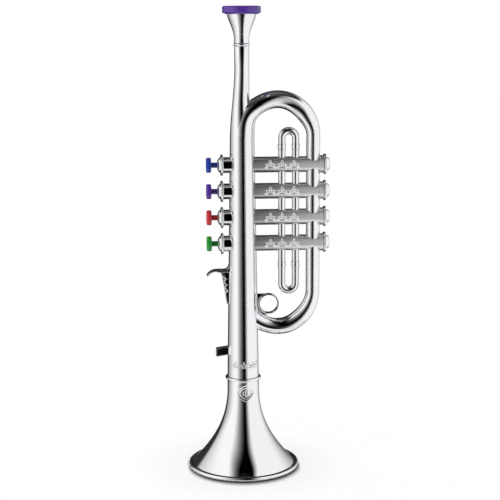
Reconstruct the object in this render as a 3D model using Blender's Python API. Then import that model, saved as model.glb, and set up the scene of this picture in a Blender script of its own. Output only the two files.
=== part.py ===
"""Toy trumpet with four sprung buttons, standing on the rim of its bell.

Metres, +Z up. The bell, the tapered tube and the mouthpiece are turned about one upright axis.
The loop, the four valve casings and the inner slide lie in the plane of that axis, toward +X.
The buttons point toward -X and are pressed toward +X.
"""

import math

import bmesh
import bpy
from mathutils import Matrix, Vector

# Clearances, walls and cutters
JOINT_GAP = 0.0003
MOULD_WALL = 0.0015
TUBE_WALL = 0.0014
CUT_OVERRUN = 0.004
MERGE_DISTANCE = 0.000002
FLAT_ANGLE = math.radians(0.3)

# Bell, measured from the surface that it stands on
BELL_ROLL_RADIUS = 0.0021
BELL_RIM_RADIUS = 0.0447
BELL_FLAT_WIDTH = 0.0020
BELL_THROAT_RADIUS = 0.01275
BELL_FLARE_HEIGHT = 0.0640
BELL_FLARE_POWER = 2.2
BELL_FLARE_SPACING = 1.5
BELL_TOP_Z = 0.0754
BELL_BEAD_RADIUS = 0.0011
BELL_BEAD_STANDING = 0.0017
BELL_SIDES = 36
BELL_FLARE_STEPS = 9

# Tapered tube of the body
TUBE_BOTTOM_RADIUS = 0.01268
TUBE_TOP_RADIUS = 0.00970
TUBE_FLARE_BOTTOM_Z = 0.2640
TUBE_LEFT_FLARE_TOP_Z = 0.3230
TUBE_RIGHT_FLARE_TOP_Z = 0.3010
TUBE_MOUTH_RADIUS = 0.00580
TUBE_MOUTH_Z = 0.3392
TUBE_SIDES = 24
TUBE_FLARE_STEPS = 7
SPIGOT_LENGTH = 0.0110
SPIGOT_SHOULDER = 0.0030

# Loop of tube beside the body
LOOP_TURN_RADIUS = 0.0282
LOOP_TOP_CENTRE_Z = 0.2699
LOOP_BOTTOM_CENTRE_Z = 0.1440
LOOP_ROOT_RADIUS = 0.00925
LOOP_LEG_RADIUS = 0.00545
LOOP_END_RADIUS = 0.00635
LOOP_SWELL_POWER = 1.6
LOOP_ROOT_DROP = 0.0060
LOOP_STOP_ANGLE = math.radians(53)
LOOP_END_ANGLE = math.radians(150)
LOOP_SIDES = 16
LOOP_BORE_SIDES = 12
LOOP_TOP_STEPS = 12
LOOP_BOTTOM_STEPS = 10

# Valve casings, from the highest one down
VALVE_NAMES = ("blue", "purple", "red", "green")
VALVE_TOP_Z = 0.2468
VALVE_PITCH = 0.0209
CASING_RADIUS = 0.00625
CASING_WALL = 0.00135
CASING_LEFT_REACH = 0.0150
CASING_END_STANDING = 0.00255
CASING_COLLAR_RADIUS = 0.0069
CASING_COLLAR_LENGTH = 0.0030
CASING_SIDES = 16
SEAT_X = 0.0120
SEAT_HOLE_RADIUS = 0.0034

# Inner slide, a closed loop of thin tube through the casings
SLIDE_CENTRE_X = 0.03695
SLIDE_TURN_RADIUS = 0.0055
SLIDE_TUBE_RADIUS = 0.0029
SLIDE_TOP_CENTRE_Z = 0.2679
SLIDE_BOTTOM_CENTRE_Z = 0.1508
SLIDE_SIDES = 12
SLIDE_TURN_STEPS = 6
SLEEVE_STANDING = 0.0003
SLEEVE_LENGTH = 0.0048
SLEEVE_TOP_Z = 0.2607
SLEEVE_BOTTOM_Z = 0.1664

# Mouthpiece and its rim
RIM_RADIUS = 0.0150
RIM_HEIGHT = 0.0051
RIM_CHAMFER = 0.0028
RIM_CHAMFER_HEIGHT = 0.0012
RIM_EDGE_RADIUS = 0.0009
RIM_BORE_RADIUS = 0.0083
RIM_SEAT_DEPTH = 0.0035
CUP_TOP_RADIUS = 0.01135
CUP_FLARE_HEIGHT = 0.0195
CUP_FLARE_POWER = 1.3
CUP_NECK_RADIUS = 0.00585
CUP_NECK_LENGTH = 0.0044
CUP_SPIGOT_RADIUS = 0.0098
CUP_DEPTH = 0.0125
CUP_BEAD_RADIUS = 0.00105
CUP_BEAD_STANDING = 0.0001
THROAT_RADIUS = 0.0022
SHANK_LENGTH = 0.0200
CUP_STEPS = 7
MOUTHPIECE_SIDES = 24

# Buttons and what rides on their stems
BUTTON_FACE_X = -0.0285
BUTTON_HEAD_RADIUS = 0.0059
BUTTON_HEAD_THICKNESS = 0.0038
BUTTON_EDGE_RADIUS = 0.0009
STEM_RADIUS = 0.0021
PEG_RADIUS = 0.0016
PEG_TIP = 0.0006
PAD_RADIUS = 0.0044
PAD_THICKNESS = 0.0020
WASHER_RADIUS = 0.0043
WASHER_THICKNESS = 0.0010
SPRING_RADIUS = 0.0036
SPRING_WIRE_RADIUS = 0.00025
SPRING_TURNS = 6
SPRING_POINTS_PER_TURN = 7
VALVE_SIDES = 20
HIDDEN_SIDES = 12

# Caps at the two ends of each casing
TOP_CAP_FLANGE_RADIUS = 0.00845
TOP_CAP_FLANGE_THICKNESS = 0.0020
TOP_CAP_DOME_HEIGHT = 0.0024
TOP_CAP_DOME_RADIUS = 0.0061
TOP_CAP_CROWN_RADIUS = 0.0038
TOP_CAP_SPIGOT = 0.0013
END_CAP_FLANGE_RADIUS = 0.0082
END_CAP_FLANGE_THICKNESS = 0.0020
END_CAP_HEIGHT = 0.0025
END_CAP_RADIUS = 0.0054
END_CAP_CROWN_RADIUS = 0.0046
END_CAP_SPIGOT = 0.0035

# Reeds and their holders, one in each casing
HOLDER_START_X = 0.0220
HOLDER_LENGTH = 0.0250
HOLDER_END_WALL = 0.0015
HOLDER_TROUGH_HALF_WIDTH = 0.0034
HOLDER_SLOT_MARGIN = 0.0045
HOLDER_SLOT_HALF_WIDTH = 0.0013
HOLDER_CHANNEL_DEPTH = 0.0034
HOLDER_CHANNEL_HEIGHT = 0.0022
REED_LENGTH = 0.0190
REED_HALF_WIDTH = 0.0027
REED_THICKNESS = 0.0006
REED_TONGUE_LENGTH = 0.0135
REED_TONGUE_STEP = 0.0010
REED_TONGUE_HALF_WIDTH = 0.0010
REED_CUT = 0.0003

# Plug that closes the air chamber below the valves
PLUG_TOP_Z = 0.1745
PLUG_THICKNESS = 0.0030

# Finger ring between the body and the lower bend
FINGER_RING_X = 0.0207
FINGER_RING_Z = 0.1346
FINGER_RING_RADIUS = 0.0082
FINGER_RING_BORE = 0.0072
FINGER_RING_DEPTH = 0.0046
FINGER_WEB_REACH = 0.0194
FINGER_WEB_FOOT_SHARE = 0.9
FINGER_WEB_DEPTH = 0.0030
FINGER_WEB_TOP_Z = 0.1426
FINGER_RING_SIDES = 24

# Finger hook on the button side
HOOK_ARM_Z = 0.1631
HOOK_ARM_THICKNESS = 0.0016
HOOK_TIP_THICKNESS = 0.0010
HOOK_ARM_REACH = 0.0208
HOOK_CURL_RADIUS = 0.0095
HOOK_CURL_ANGLE = math.radians(58)
HOOK_ROOT_FILLET = 0.0036
HOOK_ARM_DEPTH = 0.0090
HOOK_RIB_DEPTH = 0.0052
HOOK_RIB_SHOULDER_X = 0.0166
HOOK_RIB_SHOULDER_Z = 0.1580
HOOK_RIB_WAIST_X = 0.0148
HOOK_RIB_WAIST_Z = 0.1470
HOOK_RIB_TIP_Z = 0.1352
HOOK_RIB_TIP_STANDING = 0.0012
HOOK_CURL_STEPS = 8
HOOK_FILLET_STEPS = 5

# Lug for a music clip, low on the button side
LUG_REACH = 0.0218
LUG_HEIGHT = 0.0064
LUG_DEPTH = 0.0064
LUG_ROOT_Z = 0.0967
LUG_SLOPE = math.radians(8.5)
LUG_RECESS = 0.0008
LUG_LIP = 0.0009
LUG_BACK_WALL = 0.0012

# Colours (linear), roughness and metallic value of each material
CHROME = ("chrome_plastic", (0.82, 0.83, 0.85), 0.08, 1.0)
BRASS = ("brass", (0.78, 0.57, 0.25), 0.25, 1.0)
SPRING_STEEL = ("spring_steel", (0.55, 0.56, 0.58), 0.30, 1.0)
BLACK_RUBBER = ("black_rubber", (0.02, 0.02, 0.02), 0.85, 0.0)
GREY_PLASTIC = ("grey_plastic", (0.32, 0.33, 0.34), 0.50, 0.0)
RIM_PURPLE = ("purple_plastic", (0.10, 0.03, 0.28), 0.25, 0.0)
BUTTON_COLOURS = {
    "blue": ("blue_plastic", (0.02, 0.06, 0.42), 0.25, 0.0),
    "purple": ("violet_plastic", (0.10, 0.03, 0.28), 0.25, 0.0),
    "red": ("red_plastic", (0.58, 0.02, 0.03), 0.25, 0.0),
    "green": ("green_plastic", (0.01, 0.26, 0.03), 0.25, 0.0),
}

# Places that follow from the sizes above
CASING_RIGHT_REACH = 2 * LOOP_TURN_RADIUS + LOOP_LEG_RADIUS + CASING_END_STANDING
END_CAP_REACH = CASING_RIGHT_REACH + JOINT_GAP + END_CAP_FLANGE_THICKNESS + END_CAP_HEIGHT
AXIS_X = (BELL_RIM_RADIUS - END_CAP_REACH) / 2
SHOULDER_Z = BELL_TOP_Z + JOINT_GAP
CASING_BORE = CASING_RADIUS - CASING_WALL
CUP_SEAT_Z = TUBE_MOUTH_Z + JOINT_GAP
CUP_TOP_Z = CUP_SEAT_Z + CUP_NECK_LENGTH + CUP_FLARE_HEIGHT
RIM_BOTTOM_Z = CUP_TOP_Z + JOINT_GAP + RIM_CHAMFER_HEIGHT
RIM_TOP_Z = RIM_BOTTOM_Z + RIM_HEIGHT
VALVE_HEIGHTS = [VALVE_TOP_Z - VALVE_PITCH * index for index in range(len(VALVE_NAMES))]
TO_RIGHT = (0, math.pi / 2, 0)


def clear_scene():
    """Remove what the scene holds before the model is made."""
    for item in list(bpy.data.objects):
        bpy.data.objects.remove(item, do_unlink=True)


def material(sort):
    """One Principled material of a colour, a roughness and a metallic value."""
    name, colour, roughness, metallic = sort
    found = bpy.data.materials.get(name)
    if found:
        return found
    made = bpy.data.materials.new(name)
    made.use_nodes = True
    surface = made.node_tree.nodes["Principled BSDF"]
    surface.inputs["Base Color"].default_value = (*colour, 1)
    surface.inputs["Roughness"].default_value = roughness
    surface.inputs["Metallic"].default_value = metallic
    made.diffuse_color = (*colour, 1)
    return made


def new_object(name, shape):
    """An object in the scene from a bmesh, with every face turned outward."""
    bmesh.ops.remove_doubles(shape, verts=shape.verts, dist=MERGE_DISTANCE)
    bmesh.ops.recalc_face_normals(shape, faces=shape.faces)
    mesh = bpy.data.meshes.new(name)
    shape.to_mesh(mesh)
    shape.free()
    made = bpy.data.objects.new(name, mesh)
    bpy.context.scene.collection.objects.link(made)
    return made


def finish(piece, sort, carrier, place=(0, 0, 0), turn=(0, 0, 0)):
    """Colour a piece, shade it smooth and set it under its carrier."""
    piece.data.materials.clear()
    piece.data.materials.append(material(sort))
    if piece.type == "MESH":
        piece.data.shade_smooth()
        piece.data.set_sharp_from_angle(angle=math.radians(30))
    piece.parent = carrier
    piece.location = place
    piece.rotation_euler = turn
    return piece


def skin(rings, closed=False):
    """A closed skin over a row of rings that have as many points each."""
    shape = bmesh.new()
    loops = [[shape.verts.new(point) for point in ring] for ring in rings]
    pairs = list(zip(loops, loops[1:]))
    if closed:
        pairs.append((loops[-1], loops[0]))
    else:
        shape.faces.new(loops[0])
        shape.faces.new(loops[-1])
    for lower, upper in pairs:
        for index in range(len(lower)):
            before = index - 1
            shape.faces.new((lower[before], lower[index], upper[index], upper[before]))
    return shape


def ring(centre, across, radius, sides):
    """Points of a circle about a centre, spanned by one direction and by +Y."""
    points = []
    for index in range(sides):
        angle = 2 * math.pi * (index + 0.5) / sides
        points.append(centre + across * radius * math.cos(angle) + Vector((0, radius * math.sin(angle), 0)))
    return points


def half_ring(centre, across, radius, sides):
    """Points of the front half of such a circle, cut straight half a joint gap before its middle."""
    parting = JOINT_GAP / 2
    start = math.asin(parting / radius)
    steps = sides // 2
    points = []
    for index in range(steps + 1):
        angle = math.pi + start + (math.pi - 2 * start) * index / steps
        forward = radius * math.sin(angle) if 0 < index < steps else -parting
        points.append(centre + across * radius * math.cos(angle) + Vector((0, forward, 0)))
    return points


def turned(name, profile, sides, solid=False):
    """A body turned about Z from (radius, height) points: a closed outline, or a chain from axis to axis."""
    shape = bmesh.new()
    verts = [shape.verts.new((radius, 0, height)) for radius, height in profile]
    edges = [shape.edges.new(pair) for pair in zip(verts, verts[1:])]
    if not solid:
        edges.append(shape.edges.new((verts[-1], verts[0])))
    bmesh.ops.spin(
        shape, geom=verts + edges, cent=(0, 0, 0), axis=(0, 0, 1), angle=2 * math.pi,
        steps=sides, use_merge=True,
    )
    return new_object(name, shape)


def arc(centre, radius, start, end, steps):
    """Points of an arc, each a pair, from one angle in degrees to another."""
    points = []
    for index in range(steps + 1):
        angle = math.radians(start + (end - start) * index / steps)
        points.append((centre[0] + radius * math.cos(angle), centre[1] + radius * math.sin(angle)))
    return points


def extruded(name, outline, depth):
    """A plate with an (x, z) outline, centred on the plane of the loop."""
    shape = bmesh.new()
    face = shape.faces.new([shape.verts.new((x, -depth / 2, z)) for x, z in outline])
    swept = bmesh.ops.extrude_face_region(shape, geom=[face])
    moved = [item for item in swept["geom"] if isinstance(item, bmesh.types.BMVert)]
    bmesh.ops.translate(shape, verts=moved, vec=(0, depth, 0))
    return new_object(name, shape)


def box(name, low, high):
    """A block between two opposite corners."""
    shape = bmesh.new()
    size = [top - bottom for bottom, top in zip(low, high)]
    middle = [(top + bottom) / 2 for bottom, top in zip(low, high)]
    bmesh.ops.create_cube(shape, size=1, matrix=Matrix.Translation(middle) @ Matrix.Diagonal((*size, 1)))
    return new_object(name, shape)


def cylinder(name, radius, start, end, sides):
    """A plain rod along Z."""
    return turned(name, [(0, start), (radius, start), (radius, end), (0, end)], sides, solid=True)


def place(piece, location, turn=(0, 0, 0)):
    """Move a piece's mesh, not its origin."""
    matrix = Matrix.Translation(location)
    for axis, angle in zip("XYZ", turn):
        matrix = matrix @ Matrix.Rotation(angle, 4, axis)
    piece.data.transform(matrix)
    return piece


def combine(body, tools, operation):
    """Join closed bodies to a body or cut them from it, all at once, and drop them."""
    group = bpy.data.collections.new("tools")
    bpy.context.scene.collection.children.link(group)
    for tool in tools:
        group.objects.link(tool)
    step = body.modifiers.new(operation.title(), "BOOLEAN")
    step.operation = operation
    step.operand_type = "COLLECTION"
    step.collection = group
    bpy.context.view_layer.update()
    graph = bpy.context.evaluated_depsgraph_get()
    result = bpy.data.meshes.new_from_object(body.evaluated_get(graph))
    body.modifiers.clear()
    body.data = result
    for tool in tools:
        bpy.data.objects.remove(tool, do_unlink=True)
    bpy.data.collections.remove(group)
    return body


def flatten_faces(body):
    """Merge faces that lie in one plane, then split all faces into triangles, which are always flat."""
    shape = bmesh.new()
    shape.from_mesh(body.data)
    bmesh.ops.triangulate(shape, faces=shape.faces)
    bmesh.ops.remove_doubles(shape, verts=shape.verts, dist=MERGE_DISTANCE)
    bmesh.ops.dissolve_degenerate(shape, dist=MERGE_DISTANCE, edges=shape.edges)
    bmesh.ops.dissolve_limit(shape, angle_limit=FLAT_ANGLE, verts=shape.verts, edges=shape.edges)
    bmesh.ops.triangulate(shape, faces=shape.faces)
    shape.to_mesh(body.data)
    shape.free()
    return body


def ease(share):
    """Smooth step from 0 to 1."""
    share = min(max(share, 0), 1)
    return share * share * (3 - 2 * share)


def taper_radius(height):
    """Radius of the straight taper of the body at a height."""
    share = (height - SHOULDER_Z) / (TUBE_FLARE_BOTTOM_Z - SHOULDER_Z)
    return TUBE_BOTTOM_RADIUS + (TUBE_TOP_RADIUS - TUBE_BOTTOM_RADIUS) * share


def body_section(height):
    """Centre offset and radius of the body at a height, from its left and right outlines."""
    wide = taper_radius(min(height, TUBE_FLARE_BOTTOM_Z))
    left_share = (TUBE_LEFT_FLARE_TOP_Z - height) / (TUBE_LEFT_FLARE_TOP_Z - TUBE_FLARE_BOTTOM_Z)
    right_share = (TUBE_RIGHT_FLARE_TOP_Z - height) / (TUBE_RIGHT_FLARE_TOP_Z - TUBE_FLARE_BOTTOM_Z)
    left = TUBE_MOUTH_RADIUS + (wide - TUBE_MOUTH_RADIUS) * ease(left_share)
    right = TUBE_MOUTH_RADIUS + (wide - TUBE_MOUTH_RADIUS) * ease(right_share)
    return (right - left) / 2, (right + left) / 2


def flare_heights():
    """Heights of the rings where the body swells from the mouth tube to the taper."""
    span = TUBE_LEFT_FLARE_TOP_Z - TUBE_FLARE_BOTTOM_Z
    return [TUBE_FLARE_BOTTOM_Z + span * index / TUBE_FLARE_STEPS for index in range(TUBE_FLARE_STEPS + 1)]


def body_tube(name, inset, bottom, top, section=ring):
    """The tapered tube of the body as a closed body, smaller by an inset or larger by a negative one."""
    heights = [bottom] + [height for height in flare_heights() if bottom < height < top] + [top]
    rings = []
    for height in heights:
        offset, radius = body_section(height)
        rings.append(section(Vector((offset, 0, height)), Vector((1, 0, 0)), radius - inset, TUBE_SIDES))
    return new_object(name, skin(rings))


def loop_stations(start_angle):
    """Centre, outward direction and radius of each ring along the loop, from its root at the body."""
    stations = []
    top = Vector((LOOP_TURN_RADIUS, 0, LOOP_TOP_CENTRE_Z))
    bottom = Vector((LOOP_TURN_RADIUS, 0, LOOP_BOTTOM_CENTRE_Z))
    if start_angle == 0:
        root = Vector((0, 0, LOOP_TOP_CENTRE_Z - LOOP_ROOT_DROP))
        stations.append((root, Vector((-1, 0, 0)), LOOP_ROOT_RADIUS))
    for index in range(LOOP_TOP_STEPS + 1):
        angle = start_angle + (math.pi - start_angle) * index / LOOP_TOP_STEPS
        out = Vector((-math.cos(angle), 0, math.sin(angle)))
        swell = (1 - angle / math.pi) ** LOOP_SWELL_POWER
        radius = LOOP_LEG_RADIUS + (LOOP_ROOT_RADIUS - LOOP_LEG_RADIUS) * swell
        stations.append((top + out * LOOP_TURN_RADIUS, out, radius))
    for index in range(LOOP_BOTTOM_STEPS + 1):
        share = index / LOOP_BOTTOM_STEPS
        angle = LOOP_END_ANGLE * share
        out = Vector((math.cos(angle), 0, -math.sin(angle)))
        radius = LOOP_LEG_RADIUS + (LOOP_END_RADIUS - LOOP_LEG_RADIUS) * share
        stations.append((bottom + out * LOOP_TURN_RADIUS, out, radius))
    return stations


def loop_tube(name, inset, start_angle, sides, section=ring):
    """The loop as one closed body, smaller by an inset or larger by a negative one."""
    stations = loop_stations(start_angle)
    rings = [section(centre, out, radius - inset, sides) for centre, out, radius in stations]
    return new_object(name, skin(rings))


def slide_tube(section):
    """The inner slide: two legs joined by two half turns."""
    rings = []
    for index in range(2 * SLIDE_TURN_STEPS + 2):
        upper = index <= SLIDE_TURN_STEPS
        step = index if upper else index - 1
        angle = math.pi * step / SLIDE_TURN_STEPS
        height = SLIDE_TOP_CENTRE_Z if upper else SLIDE_BOTTOM_CENTRE_Z
        out = Vector((-math.cos(angle), 0, math.sin(angle)))
        centre = Vector((SLIDE_CENTRE_X, 0, height)) + out * SLIDE_TURN_RADIUS
        rings.append(section(centre, out, SLIDE_TUBE_RADIUS, SLIDE_SIDES))
    return new_object("slide", skin(rings, closed=True))


def upright_rod(radius, start, end, sides, section=ring, offset=0):
    """A rod along Z between two heights."""
    across = Vector((1, 0, 0))
    rings = [section(Vector((offset, 0, height)), across, radius, sides) for height in (start, end)]
    return new_object("rod", skin(rings))


def level_rod(radius, start, end, height, section=ring):
    """A rod along X at the height of a valve."""
    across = Vector((0, 0, 1))
    rings = [section(Vector((along, 0, height)), across, radius, CASING_SIDES) for along in (start, end)]
    return new_object("rod", skin(rings))


def sleeve(side, height, section):
    """A short thicker sleeve on one leg of the inner slide."""
    radius = SLIDE_TUBE_RADIUS + SLEEVE_STANDING
    half = SLEEVE_LENGTH / 2
    offset = SLIDE_CENTRE_X + side * SLIDE_TURN_RADIUS
    return upright_rod(radius, height - half, height + half, SLIDE_SIDES, section, offset)


def moulding_outside(section):
    """Outer form of the whole moulding: body, loop, casings and inner slide."""
    spigot_radius = BELL_THROAT_RADIUS - TUBE_WALL - JOINT_GAP
    spigot_top = SHOULDER_Z + SPIGOT_SHOULDER
    joined = [upright_rod(spigot_radius, SHOULDER_Z - SPIGOT_LENGTH, spigot_top, TUBE_SIDES, section)]
    joined += [loop_tube("loop", 0, 0, LOOP_SIDES, section), slide_tube(section)]
    for height in (SLEEVE_TOP_Z, SLEEVE_BOTTOM_Z):
        joined += [sleeve(side, height, section) for side in (-1, 1)]
    for height in VALVE_HEIGHTS:
        joined.append(level_rod(CASING_RADIUS, -CASING_LEFT_REACH, CASING_RIGHT_REACH, height, section))
        start = CASING_RIGHT_REACH - CASING_COLLAR_LENGTH
        joined.append(level_rod(CASING_COLLAR_RADIUS, start, CASING_RIGHT_REACH, height, section))
    return combine(body_tube("form", 0, SHOULDER_Z, TUBE_MOUTH_Z, section), joined, "UNION")


def moulding_inside():
    """The air chamber, the bore of the loop and the bores of the casings as one body."""
    bottom = SHOULDER_Z - SPIGOT_LENGTH - CUT_OVERRUN
    chamber_floor = SHOULDER_Z + SPIGOT_SHOULDER
    spigot_bore = BELL_THROAT_RADIUS - TUBE_WALL - JOINT_GAP - TUBE_WALL
    joined = [upright_rod(spigot_bore, bottom, chamber_floor + CUT_OVERRUN, TUBE_SIDES)]
    joined.append(loop_tube("loop_bore", TUBE_WALL, LOOP_STOP_ANGLE, LOOP_BORE_SIDES))
    for height in VALVE_HEIGHTS:
        joined.append(level_rod(CASING_BORE, -CASING_LEFT_REACH - CUT_OVERRUN, 0, height))
        joined.append(level_rod(SEAT_HOLE_RADIUS, 0, SEAT_X + CUT_OVERRUN, height))
        joined.append(level_rod(CASING_BORE, SEAT_X, CASING_RIGHT_REACH + CUT_OVERRUN, height))
    hollow = body_tube("hollow", MOULD_WALL, chamber_floor, TUBE_MOUTH_Z + CUT_OVERRUN)
    return combine(hollow, joined, "UNION")


def body_shells(carrier):
    """Front and back shells, parted at the plane of the loop."""
    front = flatten_faces(moulding_outside(half_ring))
    combine(front, [flatten_faces(moulding_inside())], "DIFFERENCE")
    flatten_faces(front)
    front.name = "body_front_shell"
    mirrored = front.data.copy()
    mirrored.transform(Matrix.Scale(-1, 4, (0, 1, 0)))
    mirrored.flip_normals()
    back = bpy.data.objects.new("body_back_shell", mirrored)
    bpy.context.scene.collection.objects.link(back)
    finish(front, CHROME, carrier)
    finish(back, CHROME, carrier)


def bell_flare(steps):
    """(radius, height) points of the bell's outside, from the roll up to the throat."""
    mouth_radius = BELL_RIM_RADIUS - BELL_ROLL_RADIUS
    points = []
    for index in range(steps + 1):
        share = (index / steps) ** BELL_FLARE_SPACING
        radius = BELL_THROAT_RADIUS + (mouth_radius - BELL_THROAT_RADIUS) * (1 - share) ** BELL_FLARE_POWER
        points.append((radius, BELL_ROLL_RADIUS + BELL_FLARE_HEIGHT * share))
    return points


def inset_chain(points, wall):
    """Move each point of a chain toward the axis side by a wall, square to the chain."""
    moved = []
    for index, (radius, height) in enumerate(points):
        before = points[max(index - 1, 0)]
        after = points[min(index + 1, len(points) - 1)]
        run = Vector((after[0] - before[0], after[1] - before[1])).normalized()
        moved.append((radius - run.y * wall, height + run.x * wall))
    return moved


def bell(carrier):
    """Flared bell with a rolled rim that is flat below, and a bead round its top."""
    flare = bell_flare(BELL_FLARE_STEPS)
    roll_centre = (BELL_RIM_RADIUS - BELL_ROLL_RADIUS, BELL_ROLL_RADIUS)
    outside = arc(roll_centre, BELL_ROLL_RADIUS, -60, 75, 5) + flare[1:]
    bead_centre = (BELL_THROAT_RADIUS + BELL_BEAD_STANDING - BELL_BEAD_RADIUS, BELL_TOP_Z - BELL_BEAD_RADIUS)
    outside += [(BELL_THROAT_RADIUS, bead_centre[1] - BELL_BEAD_RADIUS)]
    outside += arc(bead_centre, BELL_BEAD_RADIUS, -90, 90, 5)
    inside = inset_chain(flare[1:], TUBE_WALL)
    inside = [(BELL_THROAT_RADIUS - TUBE_WALL, BELL_TOP_Z)] + inside[::-1]
    foot = roll_centre[0] - BELL_FLAT_WIDTH / 2
    inside += [(foot - BELL_ROLL_RADIUS / 2, BELL_ROLL_RADIUS), (foot, 0), (foot + BELL_FLAT_WIDTH, 0)]
    finish(turned("bell", outside + inside, BELL_SIDES), CHROME, carrier)


def mouthpiece(carrier):
    """Cup, bead and shank in one turned piece, with a throat right through."""
    outside = []
    for index in range(CUP_STEPS + 1):
        share = index / CUP_STEPS
        waist = math.sin(share * math.pi / 2) ** CUP_FLARE_POWER
        radius = CUP_TOP_RADIUS + (CUP_NECK_RADIUS - CUP_TOP_RADIUS) * waist
        outside.append((radius, CUP_TOP_Z - CUP_FLARE_HEIGHT * share))
    seat = CUP_SEAT_Z
    bead_centre = (CUP_NECK_RADIUS + CUP_BEAD_STANDING - CUP_BEAD_RADIUS / 2, seat + CUP_BEAD_RADIUS)
    outside.append((CUP_NECK_RADIUS, bead_centre[1] + CUP_BEAD_RADIUS))
    outside += arc(bead_centre, CUP_BEAD_RADIUS, 60, -60, 4)
    shank_radius = TUBE_MOUTH_RADIUS - MOULD_WALL - JOINT_GAP
    outside += [(TUBE_MOUTH_RADIUS, seat), (shank_radius, seat), (shank_radius, seat - SHANK_LENGTH)]
    spigot_top = RIM_BOTTOM_Z + RIM_SEAT_DEPTH - JOINT_GAP
    cup_floor = RIM_TOP_Z - CUP_DEPTH
    inside = [(THROAT_RADIUS, seat - SHANK_LENGTH), (THROAT_RADIUS, cup_floor)]
    inside += arc((0, spigot_top), RIM_BORE_RADIUS, -60, 0, 4)
    spigot = [(CUP_SPIGOT_RADIUS, spigot_top), (CUP_SPIGOT_RADIUS, CUP_TOP_Z)]
    finish(turned("mouthpiece", outside + inside + spigot, MOUTHPIECE_SIDES), CHROME, carrier)


def mouthpiece_rim(carrier):
    """Coloured rim that sits over the top of the cup."""
    bottom = RIM_BOTTOM_Z
    edge = RIM_EDGE_RADIUS
    socket = CUP_SPIGOT_RADIUS + JOINT_GAP
    outline = [(socket, bottom - RIM_CHAMFER_HEIGHT), (RIM_RADIUS - RIM_CHAMFER, bottom - RIM_CHAMFER_HEIGHT)]
    outline += [(RIM_RADIUS, bottom)]
    outline += arc((RIM_RADIUS - edge, RIM_TOP_Z - edge), edge, 0, 90, 3)
    outline += arc((RIM_BORE_RADIUS + edge, RIM_TOP_Z - edge), edge, 90, 180, 3)
    outline += [(RIM_BORE_RADIUS, bottom + RIM_SEAT_DEPTH), (socket, bottom + RIM_SEAT_DEPTH)]
    finish(turned("mouthpiece_rim", outline, MOUTHPIECE_SIDES), RIM_PURPLE, carrier)


def button(carrier, colour, height):
    """Coloured button with its stem and the peg that holds the pad. Its origin is on its face."""
    edge = BUTTON_EDGE_RADIUS
    shoulder = SEAT_X - BUTTON_FACE_X
    peg_end = shoulder + JOINT_GAP + PAD_THICKNESS + PEG_TIP
    chain = [(0, 0)]
    chain += arc((BUTTON_HEAD_RADIUS - edge, edge), edge, -90, 0, 2)
    chain += arc((BUTTON_HEAD_RADIUS - edge, BUTTON_HEAD_THICKNESS - edge), edge, 0, 90, 2)
    chain += [(STEM_RADIUS, BUTTON_HEAD_THICKNESS), (STEM_RADIUS, shoulder), (PEG_RADIUS, shoulder)]
    chain += [(PEG_RADIUS, peg_end), (0, peg_end)]
    made = turned("button_" + colour, chain, VALVE_SIDES, solid=True)
    finish(made, BUTTON_COLOURS[colour], carrier, (BUTTON_FACE_X, 0, height), TO_RIGHT)


def washer_start():
    """Place of the washer's outer face along X, just inside the top cap."""
    return -CASING_LEFT_REACH + TOP_CAP_SPIGOT + JOINT_GAP


def flat_ring(name, inner, outer, thickness):
    """A plain ring from its origin along Z."""
    return turned(name, [(inner, 0), (outer, 0), (outer, thickness), (inner, thickness)], HIDDEN_SIDES)


def stem_washer(carrier, colour, height):
    """Washer pressed on the stem, where the spring pushes."""
    made = flat_ring("stem_washer_" + colour, STEM_RADIUS + JOINT_GAP, WASHER_RADIUS, WASHER_THICKNESS)
    finish(made, SPRING_STEEL, carrier, (washer_start(), 0, height), TO_RIGHT)


def valve_pad(carrier, colour, height):
    """Rubber pad on the peg, which closes the seat from the casing's side."""
    made = flat_ring("valve_pad_" + colour, PEG_RADIUS + JOINT_GAP, PAD_RADIUS, PAD_THICKNESS)
    finish(made, BLACK_RUBBER, carrier, (SEAT_X + JOINT_GAP, 0, height), TO_RIGHT)


def spring_end(height):
    """Place along X where a spring rests on the right wall of the air chamber."""
    bore = taper_radius(height + SPRING_RADIUS) - MOULD_WALL
    outer = SPRING_RADIUS + SPRING_WIRE_RADIUS
    return math.sqrt(bore ** 2 - outer ** 2) - JOINT_GAP


def button_spring(carrier, colour, height):
    """Compression spring round the stem, between the washer and the chamber wall."""
    start = washer_start() + WASHER_THICKNESS + JOINT_GAP + SPRING_WIRE_RADIUS
    length = spring_end(height) - SPRING_WIRE_RADIUS - start
    count = SPRING_TURNS * SPRING_POINTS_PER_TURN
    curve = bpy.data.curves.new("button_spring_" + colour, "CURVE")
    curve.dimensions = "3D"
    curve.bevel_depth = SPRING_WIRE_RADIUS
    curve.bevel_resolution = 0
    curve.use_fill_caps = True
    line = curve.splines.new("POLY")
    line.points.add(count)
    for index, point in enumerate(line.points):
        angle = 2 * math.pi * index / SPRING_POINTS_PER_TURN
        along = length * index / count
        point.co = (SPRING_RADIUS * math.cos(angle), SPRING_RADIUS * math.sin(angle), along, 1)
    made = bpy.data.objects.new(curve.name, curve)
    bpy.context.scene.collection.objects.link(made)
    finish(made, SPRING_STEEL, carrier, (start, 0, height), TO_RIGHT)


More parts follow.
